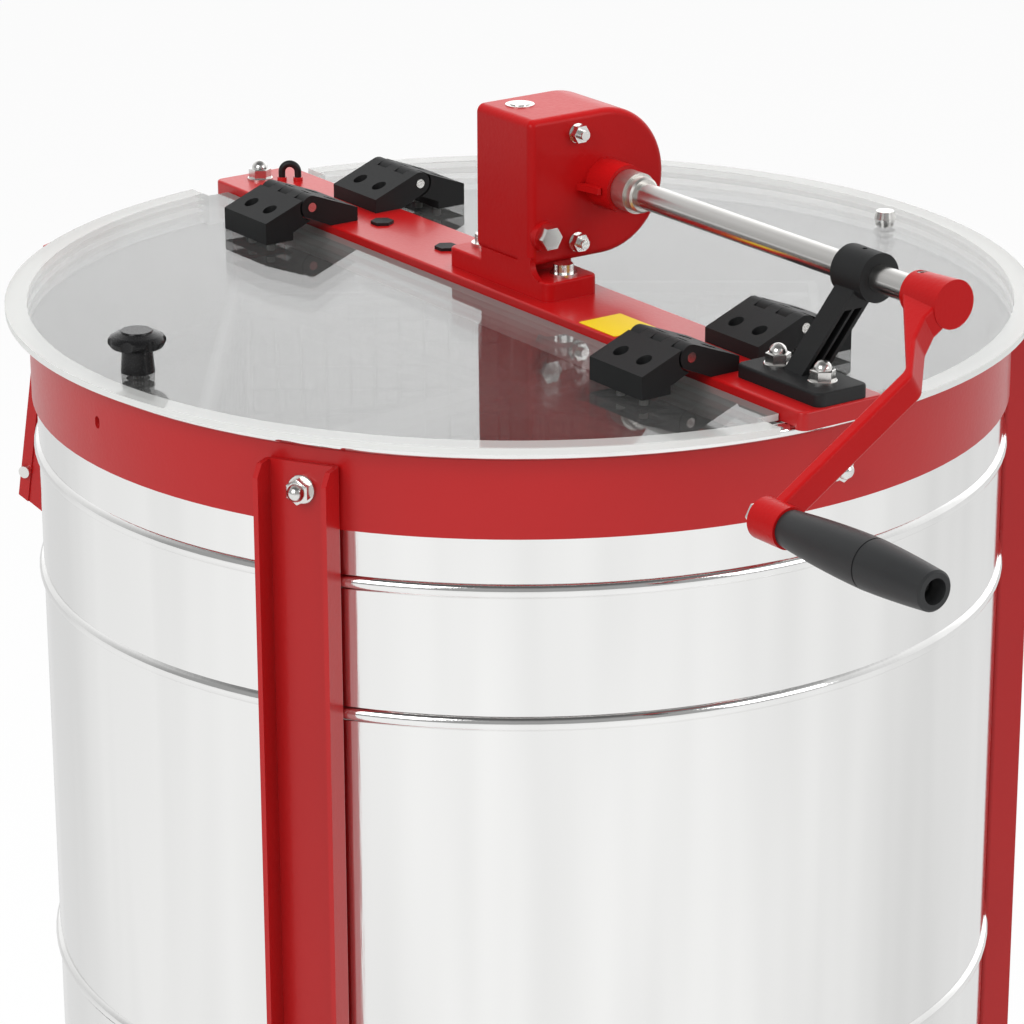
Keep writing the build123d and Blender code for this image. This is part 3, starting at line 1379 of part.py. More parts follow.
with BuildPart() as side_bracket:
    with BuildSketch(side_plane):
        with BuildLine():
            Polyline(*bracket_profile(0), close=True)
        make_face()
    extrude(amount=bracket_half, both=True)
    with BuildSketch(side_plane):
        with BuildLine():
            Polyline((top_reach - bracket_lip, 0), (top_reach, 0), (low_reach, -bracket_drop),
                     (low_reach - bracket_lip, -bracket_drop - 4), close=True)
        make_face()
    extrude(amount=bracket_half + lip_sheet, both=True)
    with BuildSketch(side_plane):
        with BuildLine():
            outline = bracket_profile(bracket_wall)
            Polyline((cheek_start - 20, -bracket_wall), outline[3], outline[4],
                     (outline[4][0], -bracket_drop - 60), (cheek_start - 20, -bracket_drop - 60), close=True)
        make_face()
    extrude(amount=bracket_half - bracket_wall, both=True, mode=Mode.SUBTRACT)
    with BuildSketch(radial_plane(bracket_angle, plate_radius, side_screw_height)):
        Rectangle(2 * bracket_half, 36)
    extrude(amount=cheek_start - plate_radius + 1)
    with BuildSketch(radial_plane(bracket_angle, plate_radius + bracket_wall, side_screw_height)):
        Rectangle(2 * (bracket_half - bracket_wall), 40)
    extrude(amount=10, mode=Mode.SUBTRACT)
    with BuildSketch(radial_plane(bracket_angle, drum_radius, side_screw_height)):
        with Locations((-18, 0), (18, 0)):
            Circle(2.5)
    extrude(amount=10, mode=Mode.SUBTRACT)
side_bracket.part.label = "side_bracket"
export_step(side_bracket.part, "parts/side_bracket.step")

cheek_screw_reach = low_reach - 6.5
cheek_screw_height = bracket_top - bracket_drop + 17.0
with BuildPart() as side_screws:
    with BuildSketch(radial_plane(bracket_angle, plate_radius, side_screw_height)):
        with Locations((-18, 0), (18, 0)):
            Circle(2.5)
    extrude(amount=bracket_wall)
    with BuildSketch(radial_plane(bracket_angle, plate_radius + bracket_wall, side_screw_height)):
        with Locations((-18, 0), (18, 0)):
            Circle(4.5)
    extrude(amount=3)
    for way in [-1, 1]:
        cheek = radial_plane(bracket_angle + way * 90, bracket_half + lip_sheet, cheek_screw_height)
        with BuildSketch(cheek):
            with Locations((-way * cheek_screw_reach, 0)):
                Circle(4)
        extrude(amount=2.6)
side_screws.part.label = "side_screws"
export_step(side_screws.part, "parts/side_screws.step")
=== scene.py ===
# %% [markdown]
# A hand-crank honey extractor: a polished steel drum on three painted legs, a wire basket
# inside it, two clear lids hinged on a painted crossbar, and a gearbox with a crank.
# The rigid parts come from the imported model. This script gives every part its finish and
# adds what sheet steel, woven wire and moulded plastic show up close.

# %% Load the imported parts
import math

import bpy
import numpy as np
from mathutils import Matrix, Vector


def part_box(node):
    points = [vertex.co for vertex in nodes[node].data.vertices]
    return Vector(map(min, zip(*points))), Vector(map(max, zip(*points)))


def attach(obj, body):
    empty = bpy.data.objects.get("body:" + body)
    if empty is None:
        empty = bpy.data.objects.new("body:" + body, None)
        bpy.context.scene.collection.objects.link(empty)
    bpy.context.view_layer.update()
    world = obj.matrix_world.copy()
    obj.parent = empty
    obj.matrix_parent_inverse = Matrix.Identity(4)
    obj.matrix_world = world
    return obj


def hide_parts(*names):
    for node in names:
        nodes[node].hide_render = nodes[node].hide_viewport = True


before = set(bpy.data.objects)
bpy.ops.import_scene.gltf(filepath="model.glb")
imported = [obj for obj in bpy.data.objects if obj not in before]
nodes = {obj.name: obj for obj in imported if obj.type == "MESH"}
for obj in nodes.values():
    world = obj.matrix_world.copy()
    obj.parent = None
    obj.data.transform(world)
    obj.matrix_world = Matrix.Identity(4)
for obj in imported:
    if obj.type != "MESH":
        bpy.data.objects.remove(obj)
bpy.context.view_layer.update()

# %% [markdown]
# A finish is worked out in a material's node tree. Written as Python sums it reads like a
# formula: a small class wraps a socket, and each operator adds one Math node.


# %% Shader sums
class Wire:
    """A socket of one material's tree. Adding or multiplying it adds a Math node."""

    def __init__(self, tree, socket):
        self.tree = tree
        self.socket = socket

    def _maths(self, operation, first, second):
        made = self.tree.nodes.new("ShaderNodeMath")
        made.operation = operation
        for index, value in enumerate((first, second)):
            if isinstance(value, Wire):
                self.tree.links.new(value.socket, made.inputs[index])
            else:
                made.inputs[index].default_value = value
        return Wire(self.tree, made.outputs[0])

    def __add__(self, other):
        return self._maths("ADD", self, other)

    def __radd__(self, other):
        return self._maths("ADD", other, self)

    def __sub__(self, other):
        return self._maths("SUBTRACT", self, other)

    def __rsub__(self, other):
        return self._maths("SUBTRACT", other, self)

    def __mul__(self, other):
        return self._maths("MULTIPLY", self, other)

    def __rmul__(self, other):
        return self._maths("MULTIPLY", other, self)

    def __gt__(self, other):
        return self._maths("GREATER_THAN", self, other)


class Shader:
    """A node tree under construction. node() makes any node, and feed() ends the tree."""

    def __init__(self, tree, output_kind):
        self.tree = tree
        self.tree.nodes.clear()
        self.output = self.tree.nodes.new("ShaderNode" + output_kind)

    def node(self, kind, out=0, settings=None, **sockets):
        """Any node. A socket goes by name, or by number when it is written i0, i1 and so on."""
        made = self.tree.nodes.new("ShaderNode" + kind)
        for key, value in (settings or {}).items():
            setattr(made, key, value)
        for key, value in sockets.items():
            name = key.replace("_", " ")
            socket = made.inputs[int(key[1:])] if key[1:].isdigit() else made.inputs[name]
            if isinstance(value, Wire):
                self.tree.links.new(value.socket, socket)
            else:
                socket.default_value = value
        return Wire(self.tree, made.outputs[out])

    def place(self, scale=(1, 1, 1)):
        """Object coordinates, in metres, stretched by scale."""
        where = self.node("TexCoord", out="Object")
        return self.node("Mapping", Vector=where, Scale=scale)

    def noise(self, where, scale, detail=3.0, rough=0.55):
        """Soft random value, about scale bumps to the metre."""
        return self.node("TexNoise", Vector=where, Scale=scale, Detail=detail, Roughness=rough)

    def mix(self, factor, first, second):
        """Colour that goes from first to second as factor goes from 0 to 1."""
        kind = {"data_type": "RGBA"}
        return self.node("Mix", out="Result", settings=kind, i0=factor, i6=first, i7=second)

    def remap(self, value, low, high, first, second):
        """Number that goes from first to second as value goes from low to high, and no further."""
        limits = {"From_Min": low, "From_Max": high, "To_Min": first, "To_Max": second}
        return self.node("MapRange", out="Result", Value=value, **limits)

    def vectors(self, operation, *values, out="Value"):
        """Vector Math node on the values."""
        sockets = {f"i{index}": value for index, value in enumerate(values)}
        return self.node("VectorMath", out=out, settings={"operation": operation}, **sockets)

    def from_axis(self):
        """Distance from the drum's axis: length of the place with its height left out."""
        return self.vectors("LENGTH", self.place((1, 1, 0)))

    def ray(self, kind):
        """1 for rays of that kind, such as "Is Camera Ray", and 0 for all others."""
        return self.node("LightPath", out=kind)

    def bump(self, height, strength, distance):
        return self.node("Bump", Height=height, Strength=strength, Distance=distance)

    def feed(self, surface):
        self.tree.links.new(surface.socket, self.output.inputs["Surface"])


class Finish(Shader):
    """A material under construction. shade() gives it one surface and returns the material."""

    def __init__(self, name):
        self.material = bpy.data.materials.new(name)
        self.material.use_nodes = True
        super().__init__(self.material.node_tree, "OutputMaterial")

    def shade(self, **sockets):
        self.feed(self.node("BsdfPrincipled", out="BSDF", **sockets))
        return self.material


def rgb(red, green, blue):
    """Colour in linear light, with full cover."""
    return (red, green, blue, 1.0)


print("shader helpers ready")

# %% [markdown]
# The stand, the crossbar and the gearbox wear a glossy red stove paint. Up close such paint is
# never flat: it has an orange peel of soft dimples a millimetre or two wide, and a slow drift
# in tone. Two noises in object space give both, one on the normal and one on the colour.

# %% Red stove paint
red_tone = rgb(0.520, 0.008, 0.009)
red_deep = rgb(0.450, 0.005, 0.006)


def stove_paint(name, tone, deep, peel, shine):
    """Gloss paint: colour = deep to tone by slow noise, height = fine noise of about 2 mm.

    peel is how strongly the dimples tilt the surface, and shine how much it reflects.
    """
    paint = Finish(name)
    where = paint.place()
    drift = paint.noise(where, scale=9.0, detail=2.0)
    dimples = paint.noise(where, scale=420.0, detail=1.5)
    waves = paint.noise(where, scale=130.0, detail=1.0)
    peel_height = dimples * 0.7 + waves * 0.5
    return paint.shade(
        Base_Color=paint.mix(drift, deep, tone),
        Roughness=dimples * 0.08 + 0.26,
        Normal=paint.bump(peel_height, strength=peel, distance=0.0006),
        Specular_IOR_Level=shine,
        Coat_Weight=shine * 0.2,
        Coat_Roughness=0.06,
    )


red_enamel = stove_paint("red_enamel", red_tone, red_deep, peel=0.16, shine=0.4)
red_casting = stove_paint("red_casting", red_tone, red_deep, peel=0.28, shine=0.14)
print("paint", red_enamel.name, red_casting.name)

# %% [markdown]
# The drum is thin stainless sheet with a mirror-like mill polish. What tells it from chrome is
# the sheet itself: it is rolled, so it undulates by a hair and its reflections run in long
# upright streaks. A noise stretched along the height does that.

# %% Polished sheet steel
sheet_tone = rgb(0.92, 0.92, 0.91)
inner_tone = rgb(0.93, 0.93, 0.93)
wall_inside = 0.2993


def polished_sheet(name, tone, roughness, ripple, inner_radius=0.0, inner_matt=0.0):
    """Sheet metal: height = broad waves plus fine upright grain; roughness follows the grain.

    Painted shade darkens the tone in broad upright bands. Inside inner_radius from the drum's
    axis the sheet is duller and scatters light by inner_matt, as brushed sheet does.
    """
    sheet = Finish(name)
    broad = sheet.noise(sheet.place((3.2, 3.2, 1.1)), scale=1.0, detail=2.0)
    streaks = sheet.noise(sheet.place((60.0, 60.0, 2.5)), scale=6.0, detail=2.0)
    smears = sheet.noise(sheet.place((5.0, 5.0, 3.0)), scale=1.0, detail=4.0, rough=0.7)
    # Painted shade: in broad upright bands the sheet's colour darkens to 84 % of its tone.
    bands = sheet.noise(sheet.place((8.0, 8.0, 0.5)), scale=1.0, detail=3.0, rough=0.6)
    shade = sheet.remap(bands, 0.35, 0.6, 0.84, 1.0)
    inside = 1 - (sheet.from_axis() > inner_radius)
    return sheet.shade(
        Base_Color=sheet.mix(shade, rgb(0.0, 0.0, 0.0), tone),
        Metallic=1 - inside * inner_matt,
        Roughness=streaks * 0.05 + smears * 0.06 + inside * 0.35 + roughness,
        Normal=sheet.bump(broad + streaks * 0.012, strength=ripple, distance=0.02),
    )


drum_steel = polished_sheet("drum_steel", sheet_tone, 0.05, 0.22, wall_inside, inner_matt=0.9)
inner_steel = polished_sheet("inner_steel", inner_tone, 0.05, 0.2, wall_inside, inner_matt=0.9)
wire_steel = polished_sheet("wire_steel", rgb(0.62, 0.62, 0.61), 0.22, 0.1)
print("sheet", drum_steel.name, inner_steel.name, wire_steel.name)

# %% [markdown]
# Turned steel, zinc-plated fasteners and bronze bushes differ in tone and in how sharp they
# reflect. One recipe serves them all: a metal with a little mottling in its roughness.


# %% Small metals
def mottled_metal(name, tone, roughness, mottle, scale=300.0):
    """Metal whose roughness = base + mottle * noise, with a faint matching relief."""
    metal = Finish(name)
    spots = metal.noise(metal.place(), scale, detail=3.0)
    cloud = metal.noise(metal.place(), scale / 12, detail=2.0)
    return metal.shade(
        Base_Color=tone,
        Metallic=1.0,
        Roughness=spots * mottle + cloud * mottle * 0.5 + roughness,
        Normal=metal.bump(spots, strength=0.08, distance=0.0003),
    )


bright_zinc = mottled_metal("bright_zinc", rgb(0.78, 0.77, 0.75), 0.14, 0.12)
turned_steel = mottled_metal("turned_steel", rgb(0.66, 0.65, 0.63), 0.16, 0.10, 180.0)
plated_collar = mottled_metal("plated_collar", rgb(0.74, 0.72, 0.68), 0.22, 0.18)
gear_steel = mottled_metal("gear_steel", rgb(0.42, 0.41, 0.40), 0.28, 0.15)
bush_bronze = mottled_metal("bush_bronze", rgb(0.62, 0.40, 0.18), 0.30, 0.12)
metals = (bright_zinc, turned_steel, plated_collar, gear_steel, bush_bronze)
print("metals", *(metal.name for metal in metals))

# %% [markdown]
# The hinges and the shaft support are glass-filled nylon: charcoal rather than black, with a
# fine spark-eroded grain that spreads the light. The knob and the grip are smoother.


# %% Moulded plastics
def moulded(name, tone, light, roughness, grain):
    """Moulded plastic: height = noise of under a millimetre; tone drifts slowly towards light."""
    plastic = Finish(name)
    where = plastic.place()
    pores = plastic.noise(where, scale=1500.0, detail=2.0)
    flow = plastic.noise(where, scale=25.0, detail=3.0)
    return plastic.shade(
        Base_Color=plastic.mix(flow, tone, light),
        Roughness=pores * 0.12 + roughness,
        Normal=plastic.bump(pores, strength=grain, distance=0.0002),
        Specular_IOR_Level=0.32,
    )


nylon = moulded("nylon", rgb(0.008, 0.0085, 0.009), rgb(0.014, 0.0145, 0.015), 0.50, 0.5)
grip_plastic = moulded("grip_plastic", rgb(0.020, 0.021, 0.022), rgb(0.030, 0.031, 0.032), 0.38, 0.3)
knob_gloss = moulded("knob_gloss", rgb(0.006, 0.006, 0.0065), rgb(0.012, 0.012, 0.0125), 0.20, 0.15)
red_plastic = moulded("red_plastic", rgb(0.50, 0.02, 0.018), rgb(0.58, 0.03, 0.022), 0.25, 0.2)
cable_rubber = moulded("cable_rubber", rgb(0.010, 0.010, 0.011), rgb(0.016, 0.016, 0.017), 0.35, 0.4)
yellow_film = moulded("yellow_film", rgb(0.84, 0.60, 0.006), rgb(0.88, 0.64, 0.008), 0.30, 0.1)
plastics = (nylon, grip_plastic, knob_gloss, red_plastic, cable_rubber, yellow_film)
print("plastics", *(plastic.name for plastic in plastics))

# %% [markdown]
# The lids are 4 mm clear sheet. Thin clear sheet hardly bends light, so it is a mix of two
# surfaces: one lets light straight through with a faint grey tint, the other mirrors it. The
# Fresnel node says how much mirrors, which grows towards grazing angles. The sawn edge is
# frosted and gathers light, so faces whose normal lies level get a pale matt surface. The
# part that reaches out past the rim gets some of it too, as painted brightness that stands in
# for the white floor seen through the sheet there.

# %% Clear lid sheet
rim_outside = 0.3035
lid_sheet = Finish("lid_sheet")
lid_place = lid_sheet.place()
lid_wave = lid_sheet.noise(lid_place, scale=7.0, detail=2.0)
through = lid_sheet.node("BsdfTransparent", out="BSDF", Color=rgb(0.975, 0.98, 0.978))
mirror = lid_sheet.node(
    "BsdfPrincipled",
    out="BSDF",
    Base_Color=rgb(0.95, 0.95, 0.95),
    Metallic=1.0,
    Roughness=0.03,
    Normal=lid_sheet.bump(lid_wave, strength=0.1, distance=0.004),
)
share = lid_sheet.node("Fresnel", IOR=1.5)
haze = lid_sheet.node("BsdfDiffuse", out="BSDF", Color=rgb(0.9, 0.9, 0.88))
clouded = lid_sheet.node("MixShader", i0=lid_wave * 0.04 + 0.02, i1=through, i2=haze)
both = lid_sheet.node("MixShader", i0=share * 0.9 + 0.01, i1=clouded, i2=mirror)
edge_frost_and_painted_brightness = lid_sheet.node(
    "BsdfPrincipled",
    out="BSDF",
    Base_Color=rgb(0.86, 0.87, 0.85),
    Roughness=lid_sheet.noise(lid_place, scale=900.0, detail=2.0) * 0.2 + 0.35,
)
facing = lid_sheet.node("TexCoord", out="Normal")
upright = lid_sheet.node("SeparateXYZ", out="Z", i0=facing)
on_edge = 1 - (upright * upright > 0.5)
# Painted brightness: past the rim, the upward faces get 40 % of the pale matt surface, which stands in
# for the floor seen through the sheet.
overhang_painted_brightness = (1 - on_edge) * (lid_sheet.from_axis() > rim_outside)
whole = lid_sheet.node("MixShader", i0=on_edge * 0.9 + overhang_painted_brightness * 0.4, i1=both, i2=edge_frost_and_painted_brightness)
lid_sheet.feed(whole)
print("lid sheet", lid_sheet.material.name)

# %% [markdown]
# Some pieces are worked out as arrays: a surface is rows of rings, and each ring's points are
# numbered in order. Four helpers turn such rows into faces, put tubes round paths, join
# surfaces, and make a piece of them.


# %% Tubes along paths
def ring_faces(rings):
    """Faces between neighbouring rings: corners = a point, the next one, and both one ring on.

    rings holds the points' numbers, in the shape (..., rings, points of a ring).
    """
    here, there = rings[..., :-1, :], rings[..., 1:, :]
    corners = [here, np.roll(here, -1, -1), np.roll(there, -1, -1), there]
    return np.stack(corners, axis=-1).reshape(-1, 4)


def tubes(paths, radius, sides):
    """Tubes round paths: point = path point + radius * (cos(turn) * across + sin(turn) * upward).

    paths has shape (tubes, points, 3). The ring lies in the plane across the path's direction,
    and the ends are left open.
    """
    steep = 0.7
    along = np.gradient(paths, axis=1)
    along /= np.linalg.norm(along, axis=2, keepdims=True)
    is_steep = np.abs(along[..., 2:3]) > steep
    helper = np.where(is_steep, [[[1.0, 0.0, 0.0]]], [[[0.0, 0.0, 1.0]]])
    across = np.cross(along, helper)
    across /= np.linalg.norm(across, axis=2, keepdims=True)
    upward = np.cross(across, along)
    turn = np.linspace(0, 2 * np.pi, sides, endpoint=False)
    ring = across[:, :, None] * np.cos(turn)[:, None] + upward[:, :, None] * np.sin(turn)[:, None]
    points = (paths[:, :, None] + radius * ring).reshape(-1, 3)
    numbers = np.arange(len(points)).reshape(*paths.shape[:2], sides)
    return points, ring_faces(numbers)


def joined(surfaces):
    """Several pairs of points and faces as one pair, with the faces renumbered."""
    starts = np.cumsum([0] + [len(points) for points, _ in surfaces])
    points = np.concatenate([points for points, _ in surfaces])
    faces = np.concatenate([faces + start for start, (_, faces) in zip(starts, surfaces)])
    return points, faces


def new_piece(name, points, faces, finish):
    """Smooth object from arrays of points and faces, wearing one finish."""
    mesh = bpy.data.meshes.new(name)
    mesh.from_pydata(points.tolist(), [], faces.tolist())
    mesh.polygons.foreach_set("use_smooth", np.full(len(mesh.polygons), True))
    mesh.materials.append(finish)
    piece = bpy.data.objects.new(name, mesh)
    bpy.context.scene.collection.objects.link(piece)
    return piece


print("tube helpers ready")

# %% [markdown]
# The basket's four screens are woven wire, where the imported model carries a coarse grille. A
# wire passes in front of one crossing wire and behind the next, one wire radius off the
# screen's middle plane. The wires across do the opposite, so the two sets pass each other.

# %% Woven screens
wire_pitch, wire_radius, wire_sides = 0.0165, 0.0008, 6
basket_turn = math.radians(-36.0)
drum_radius = 0.300
screen_distance = 0.63 * drum_radius
behind_rods, side_gap, end_gap = 0.0035, 0.002, 0.003
face_distance = screen_distance - behind_rods
face_half = face_distance - side_gap
screen_low, screen_high = (np.array(corner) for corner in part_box("mesh_screens"))
bottom, top = screen_low[2] + end_gap, screen_high[2] - end_gap


def screen_wires(turned):
    """Paths of one screen's wires: depth = side * wire radius * cos(pi * (step + wire number)).

    step counts the crossings along a wire in halves. The result is turned about the drum's axis.
    """
    columns = int(2 * face_half / wire_pitch)
    rows = int((top - bottom) / wire_pitch)
    margin = ((top - bottom) - rows * wire_pitch) / 2

    def weave(last_wire, crossings, side):
        step, wire = np.meshgrid(np.arange(2 * crossings + 1) / 2, np.arange(last_wire + 1))
        return step, wire, side * wire_radius * np.cos(np.pi * (step + wire))

    step, wire, depth = weave(rows, columns, 1)
    level_wires = (step, wire, depth)
    step, wire, depth = weave(columns, rows, -1)
    upright_wires = (wire, step, depth)
    placed = []
    for column, row, depth in (level_wires, upright_wires):
        x = (column - columns / 2) * wire_pitch
        z = bottom + row * wire_pitch + margin
        out = face_distance + depth
        turned_x = out * math.cos(turned) - x * math.sin(turned)
        turned_y = out * math.sin(turned) + x * math.cos(turned)
        placed.append(np.stack([turned_x, turned_y, z], -1))
    return placed


wire_tubes = [
    tubes(paths, wire_radius, wire_sides)
    for quarter in range(4)
    for paths in screen_wires(basket_turn + quarter * math.pi / 2)
]
woven_screens = new_piece("woven_screens", *joined(wire_tubes), wire_steel)
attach(woven_screens, "basket")
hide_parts("mesh_screens")
print("screens", len(woven_screens.data.polygons), "faces")

# %% [markdown]
# The frame's nuts are acorn nuts: a flange, a hexagon and a dome in one piece. One surface
# gives them all. Each row of it is a height and a radius, and in the hexagon's rows the radius
# grows towards the six corners.

# %% Acorn nuts
weld_distance = 0.00001
sharp_angle = math.radians(28)


def acorn_nut(seat, axis):
    """Points and faces of a nut on its seat: radius = row radius / cos(angle off the nearest flat).

    Rows outside the hexagon keep their own radius, and the dome's rows follow a quarter circle.
    """
    flange, flats, dome = 0.0085, 0.0065, 0.0053
    flange_edge, flange_top, bevel_foot, hexagon_top = 0.0012, 0.0016, 0.0071, 0.0076
    flange_slope, bevel = 0.0004, 0.0007
    around_points, dome_rows = 36, 8
    rise = np.linspace(0, np.pi / 2, dome_rows)
    heights = [0, 0, flange_edge, flange_top, flange_top, bevel_foot, hexagon_top]
    heights = np.array([*heights, *(hexagon_top + dome * np.sin(rise))])
    radii = [0, flange, flange, flange - flange_slope, flats, flats, flats - bevel]
    radii = np.array([*radii, *(dome * np.cos(rise))])
    six_sided = np.zeros(len(radii))
    six_sided[4:6] = 1.0
    turn = np.linspace(0, 2 * np.pi, around_points, endpoint=False)
    off_flat = (turn + np.pi / 6) % (np.pi / 3) - np.pi / 6
    around = radii[:, None] * (1 + six_sided[:, None] * (1 / np.cos(off_flat) - 1)[None, :])
    axis = np.array(axis, float) / np.linalg.norm(axis)
    side = np.cross(axis, [0.0, 0.0, 1.0] if abs(axis[2]) < 0.9 else [1.0, 0.0, 0.0])
    side /= np.linalg.norm(side)
    other = np.cross(axis, side)
    points = (
        np.array(seat)
        + heights[:, None, None] * axis
        + (around * np.cos(turn))[..., None] * side
        + (around * np.sin(turn))[..., None] * other
    )
    numbers = np.arange(around.size).reshape(around.shape)
    return points.reshape(-1, 3), ring_faces(numbers)


def nut_set(name, node, places):
    """All nuts of one node as one piece in place of that node. places holds seats and axes."""
    nuts = [acorn_nut(seat, axis) for seat, axis in places]
    piece = new_piece(name, *joined(nuts), bright_zinc)
    weld = piece.modifiers.new("weld", "WELD")
    weld.merge_threshold = weld_distance
    piece.data.set_sharp_from_angle(angle=sharp_angle)
    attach(piece, "stand")
    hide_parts(node)
    return piece


def outward(angle, radius, height):
    """A seat on the drum's side and the way its nut points."""
    way = (math.cos(math.radians(angle)), math.sin(math.radians(angle)), 0.0)
    return (radius * way[0], radius * way[1], height), way


leg_angles = (-59, 61, 181)
leg_rows = (1.0185, 0.490)
leg_seat, band_seat, near_bolt_y = 0.3060, 0.3030, 0.004
end_bolt, support_bolt, support_plate = 0.2935, 0.2535, 0.008
bar_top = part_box("crossbar")[1][2]
plate_top = bar_top + support_plate

leg_places = [outward(angle, leg_seat, height) for angle in leg_angles for height in leg_rows]
leg_places.append(((band_seat, near_bolt_y, leg_rows[0]), (1, 0, 0)))
bar_seats = (
    outward(leg_angles[-1], end_bolt, bar_top)[0],
    (end_bolt, 0, plate_top),
    (support_bolt, 0, plate_top),
)
bar_places = [(seat, (0, 0, 1)) for seat in bar_seats]
leg_acorns = nut_set("leg_acorns", "leg_nuts", leg_places)
bar_acorns = nut_set("bar_acorns", "bar_nuts", bar_places)
print(leg_acorns.name, len(leg_places), "and", bar_acorns.name, len(bar_places))

# %% [markdown]
# Every carried-over node now gets its finish. The table below goes from a finish to the parts
# that wear it, so a part that was forgotten shows up at once.

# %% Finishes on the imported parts
wears = {
    "red_enamel": "drum_band leg_front_left leg_rear_right leg_back crossbar side_bracket bar_brackets",
    "red_casting": "gearbox_housing gearbox_cover crank_arm",
    "drum_steel": "drum_shell",
    "inner_steel": "drum_bottom outlet_pipe basket_frame mesh_screens",
    "bright_zinc": "frame_bolts leg_nuts bar_nuts cover_bolts foot_bolts hinge_bar_screws side_screws"
    " gate_bolts grip_spindle rear_lid_button front_leaf_screws rear_leaf_screws top_plug leg_spacers",
    "turned_steel": "crank_shaft output_shaft basket_shaft shaft_coupling hinge_pins",
    "plated_collar": "shaft_collar bearing_cup bearing_ball",
    "gear_steel": "wheel_gear pinion_gear crank_set_screw",
    "bush_bronze": "gearbox_bushes",
    "nylon": "shaft_support hinge_bar_leaves front_lid_leaves rear_lid_leaves front_leaf_spacers"
    " rear_leaf_spacers bar_plugs gate_body gate_flap gate_knob",
    "grip_plastic": "crank_grip",
    "knob_gloss": "front_lid_knob",
    "red_plastic": "wire_sleeves",
    "cable_rubber": "wire_loop",
    "yellow_film": "blank_label",
    "lid_sheet": "front_lid rear_lid",
}
dressed = set()
for finish_name, part_names in wears.items():
    for part_name in part_names.split():
        part = nodes[part_name]
        part.data.materials.clear()
        part.data.materials.append(bpy.data.materials[finish_name])
        dressed.add(part_name)
print("dressed", len(dressed), "left bare", sorted(set(nodes) - dressed))

# %% [markdown]
# The set: a pale floor far larger than the object, a white surround, and big soft lamps. The
# floor looks white to the eye and in reflections, through Light Path, while it still takes the
# object's shadow. In reflections it is a little cloudy, and brighter towards the lit side.

# %% Floor
floor_half = 30.0
lit_side = (0.64, -0.77, 0.0)
white = rgb(1, 1, 1)
to_eye, in_reflections, own_light = 1.03, 0.95, 0.88
corners = [(-1, -1), (1, -1), (1, 1), (-1, 1)]
floor_mesh = bpy.data.meshes.new("floor")
floor_mesh.from_pydata([(floor_half * x, floor_half * y, 0) for x, y in corners], [], [(0, 1, 2, 3)])
floor = bpy.data.objects.new("floor", floor_mesh)
bpy.context.scene.collection.objects.link(floor)
floor_finish = Finish("floor_finish")
eye = floor_finish.ray("Is Camera Ray")
shine = floor_finish.ray("Is Glossy Ray") + floor_finish.ray("Is Transmission Ray")
floor_grain = floor_finish.noise(floor_finish.place(), scale=40.0, detail=3.0)
floor_cloud = floor_finish.noise(floor_finish.place((0.5, 0.5, 0.5)), scale=1.0, detail=1.0)
matt = floor_finish.node(
    "BsdfPrincipled",
    out="BSDF",
    Base_Color=rgb(0.8, 0.8, 0.8),
    Roughness=floor_grain * 0.1 + 0.6,
)
floor_way = floor_finish.vectors("NORMALIZE", floor_finish.place(), out="Vector")
floor_front = floor_finish.vectors("DOT_PRODUCT", floor_way, lit_side)
floor_light = floor_front * 0.11 + in_reflections - floor_cloud * 0.12
floor_strength = eye * to_eye + shine * floor_light
glow = floor_finish.node("Emission", out="Emission", Color=white, Strength=floor_strength)
floor_finish.feed(floor_finish.node("MixShader", i0=(eye + shine) * own_light, i1=matt, i2=glow))
floor_mesh.materials.append(floor_finish.material)
print("floor", floor_half * 2, "m wide")

# %% [markdown]
# The surround is white to the eye. In reflections the roof and the room in front are dark, as
# in a real studio, which gives polished steel its dark lines, and a bright backdrop behind the
# object shines in the lids and on level faces. All other rays find a soft, even light.

# %% Surround
surround = bpy.data.worlds.new("surround")
bpy.context.scene.world = surround
surround.use_nodes = True
sky = Shader(surround.node_tree, "OutputWorld")
sky_eye = sky.ray("Is Camera Ray")
sky_shine = sky.ray("Is Glossy Ray") + sky.ray("Is Transmission Ray")
towards = sky.node("TexCoord", out="Generated")
height = sky.node("SeparateXYZ", out="Z", i0=towards)
front = sky.vectors("DOT_PRODUCT", towards, lit_side)
roof = sky.remap(height, 0.62, 0.85, 0.0, 1.0)
backdrop = sky.remap(front, -0.7, -0.92, 0.0, 1.0)
room = sky.remap(front, -0.6, 0.3, 1.0, 0.35)
soft = 0.5 + front * 0.2
seen_sky = room * (1 - roof * 0.7) + backdrop * (1 - roof) * 0.62
strength = sky_eye + (1 - sky_eye) * (sky_shine * seen_sky + (1 - sky_shine) * soft)
sky.feed(sky.node("Background", out="Background", Color=white, Strength=strength))
print("surround", surround.name)

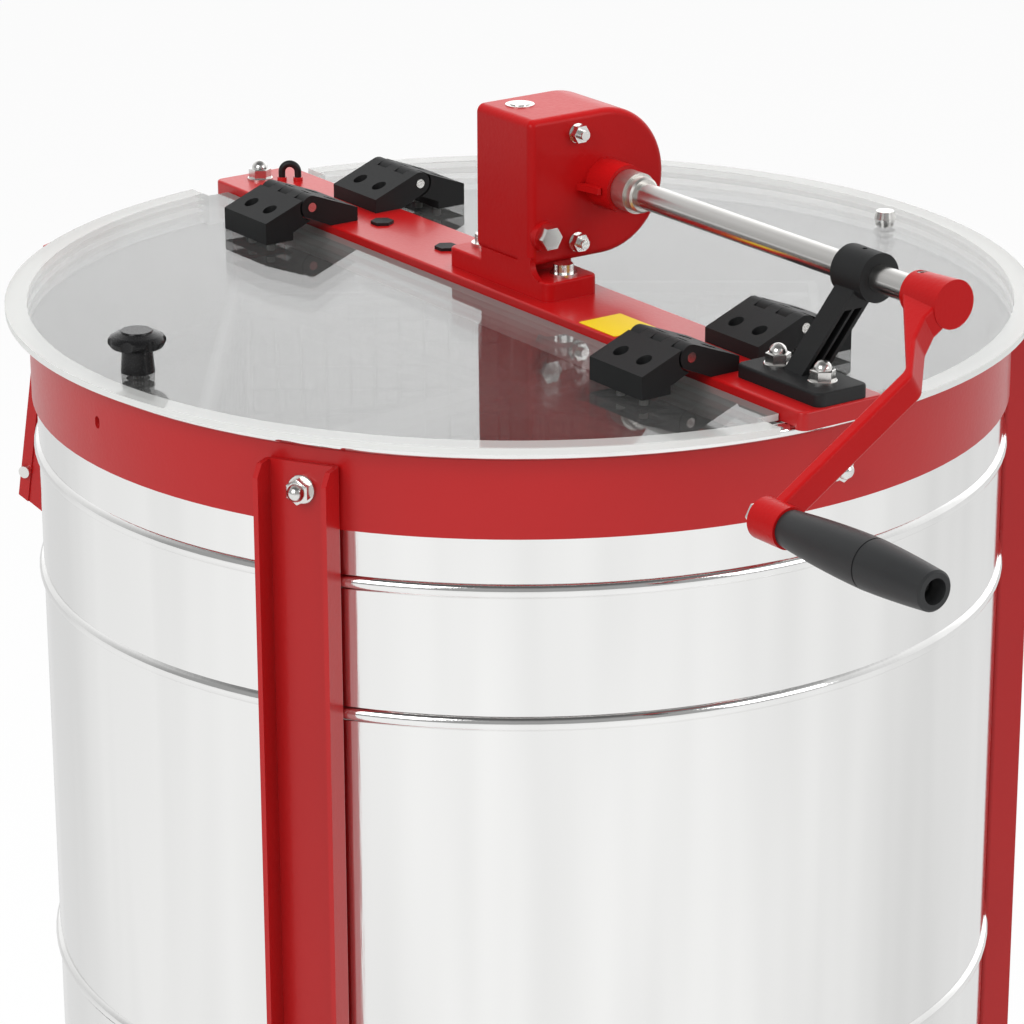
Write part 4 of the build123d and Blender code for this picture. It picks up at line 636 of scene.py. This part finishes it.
# %% [markdown]
# Soft lamps come from both sides and from above. Each is a wide panel, so shadows stay soft
# and round metal shows a broad highlight instead of a hot spot. The top panel lights the lids
# but doesn't show in them.


# %% Lamps
def panel(name, place, target, size, watts):
    """Square soft lamp at place that faces target."""
    lamp = bpy.data.lights.new(name, "AREA")
    lamp.shape = "SQUARE"
    lamp.size = size
    lamp.energy = watts
    lamp_object = bpy.data.objects.new(name, lamp)
    bpy.context.scene.collection.objects.link(lamp_object)
    lamp_object.location = place
    way = np.array(target, float) - np.array(place, float)
    lamp_object.rotation_euler = (
        math.atan2(math.hypot(way[0], way[1]), -way[2]),
        0.0,
        math.atan2(way[1], way[0]) - math.pi / 2,
    )
    return lamp_object


drum_middle, drum_top = (0, 0, 0.9), (0, 0, 1.0)
panel("key_panel", (1.2, -3.4, 3.2), drum_middle, size=2.2, watts=60)
panel("side_panel", (3.4, 1.6, 2.6), drum_middle, size=2.0, watts=35)
roof_panel = panel("top_panel", (-0.6, 0.8, 3.8), drum_top, size=2.4, watts=55)
roof_panel.visible_glossy = False

# %% [markdown]
# The camera stands on the front-right, a little above the lids, and looks down with a long
# lens. A small shift frames the object without tilting the uprights.

# %% Camera
picture, lens_pixels = 1024.0, 4194.08
shift_right, shift_up = -9.237, 88.0
lid_top, above_lids = 1.0543, 0.73268
camera_data = bpy.data.cameras.new("camera")
camera_data.sensor_width = 36.0
camera_data.lens = lens_pixels / picture * camera_data.sensor_width
camera_data.shift_x = shift_right / picture
camera_data.shift_y = shift_up / picture
camera_data.clip_end = 200.0
camera = bpy.data.objects.new("camera", camera_data)
bpy.context.scene.collection.objects.link(camera)
camera.location = (2.03302, -1.44684, lid_top + above_lids)
camera.rotation_mode = "XYZ"
camera.rotation_euler = (1.210196, 0.002425, 0.951366)
bpy.context.scene.camera = camera
looking_down = 90 - math.degrees(camera.rotation_euler.x)
print("lens", round(camera_data.lens, 1), "mm, looking down", round(looking_down, 1))

# %% [markdown]
# The plain display transform keeps the paint a full red and the surround white. The bounds
# are taken a second time and written down beside the first ones: nothing may have grown.

# %% Look
bpy.context.scene.view_settings.view_transform = "Standard"
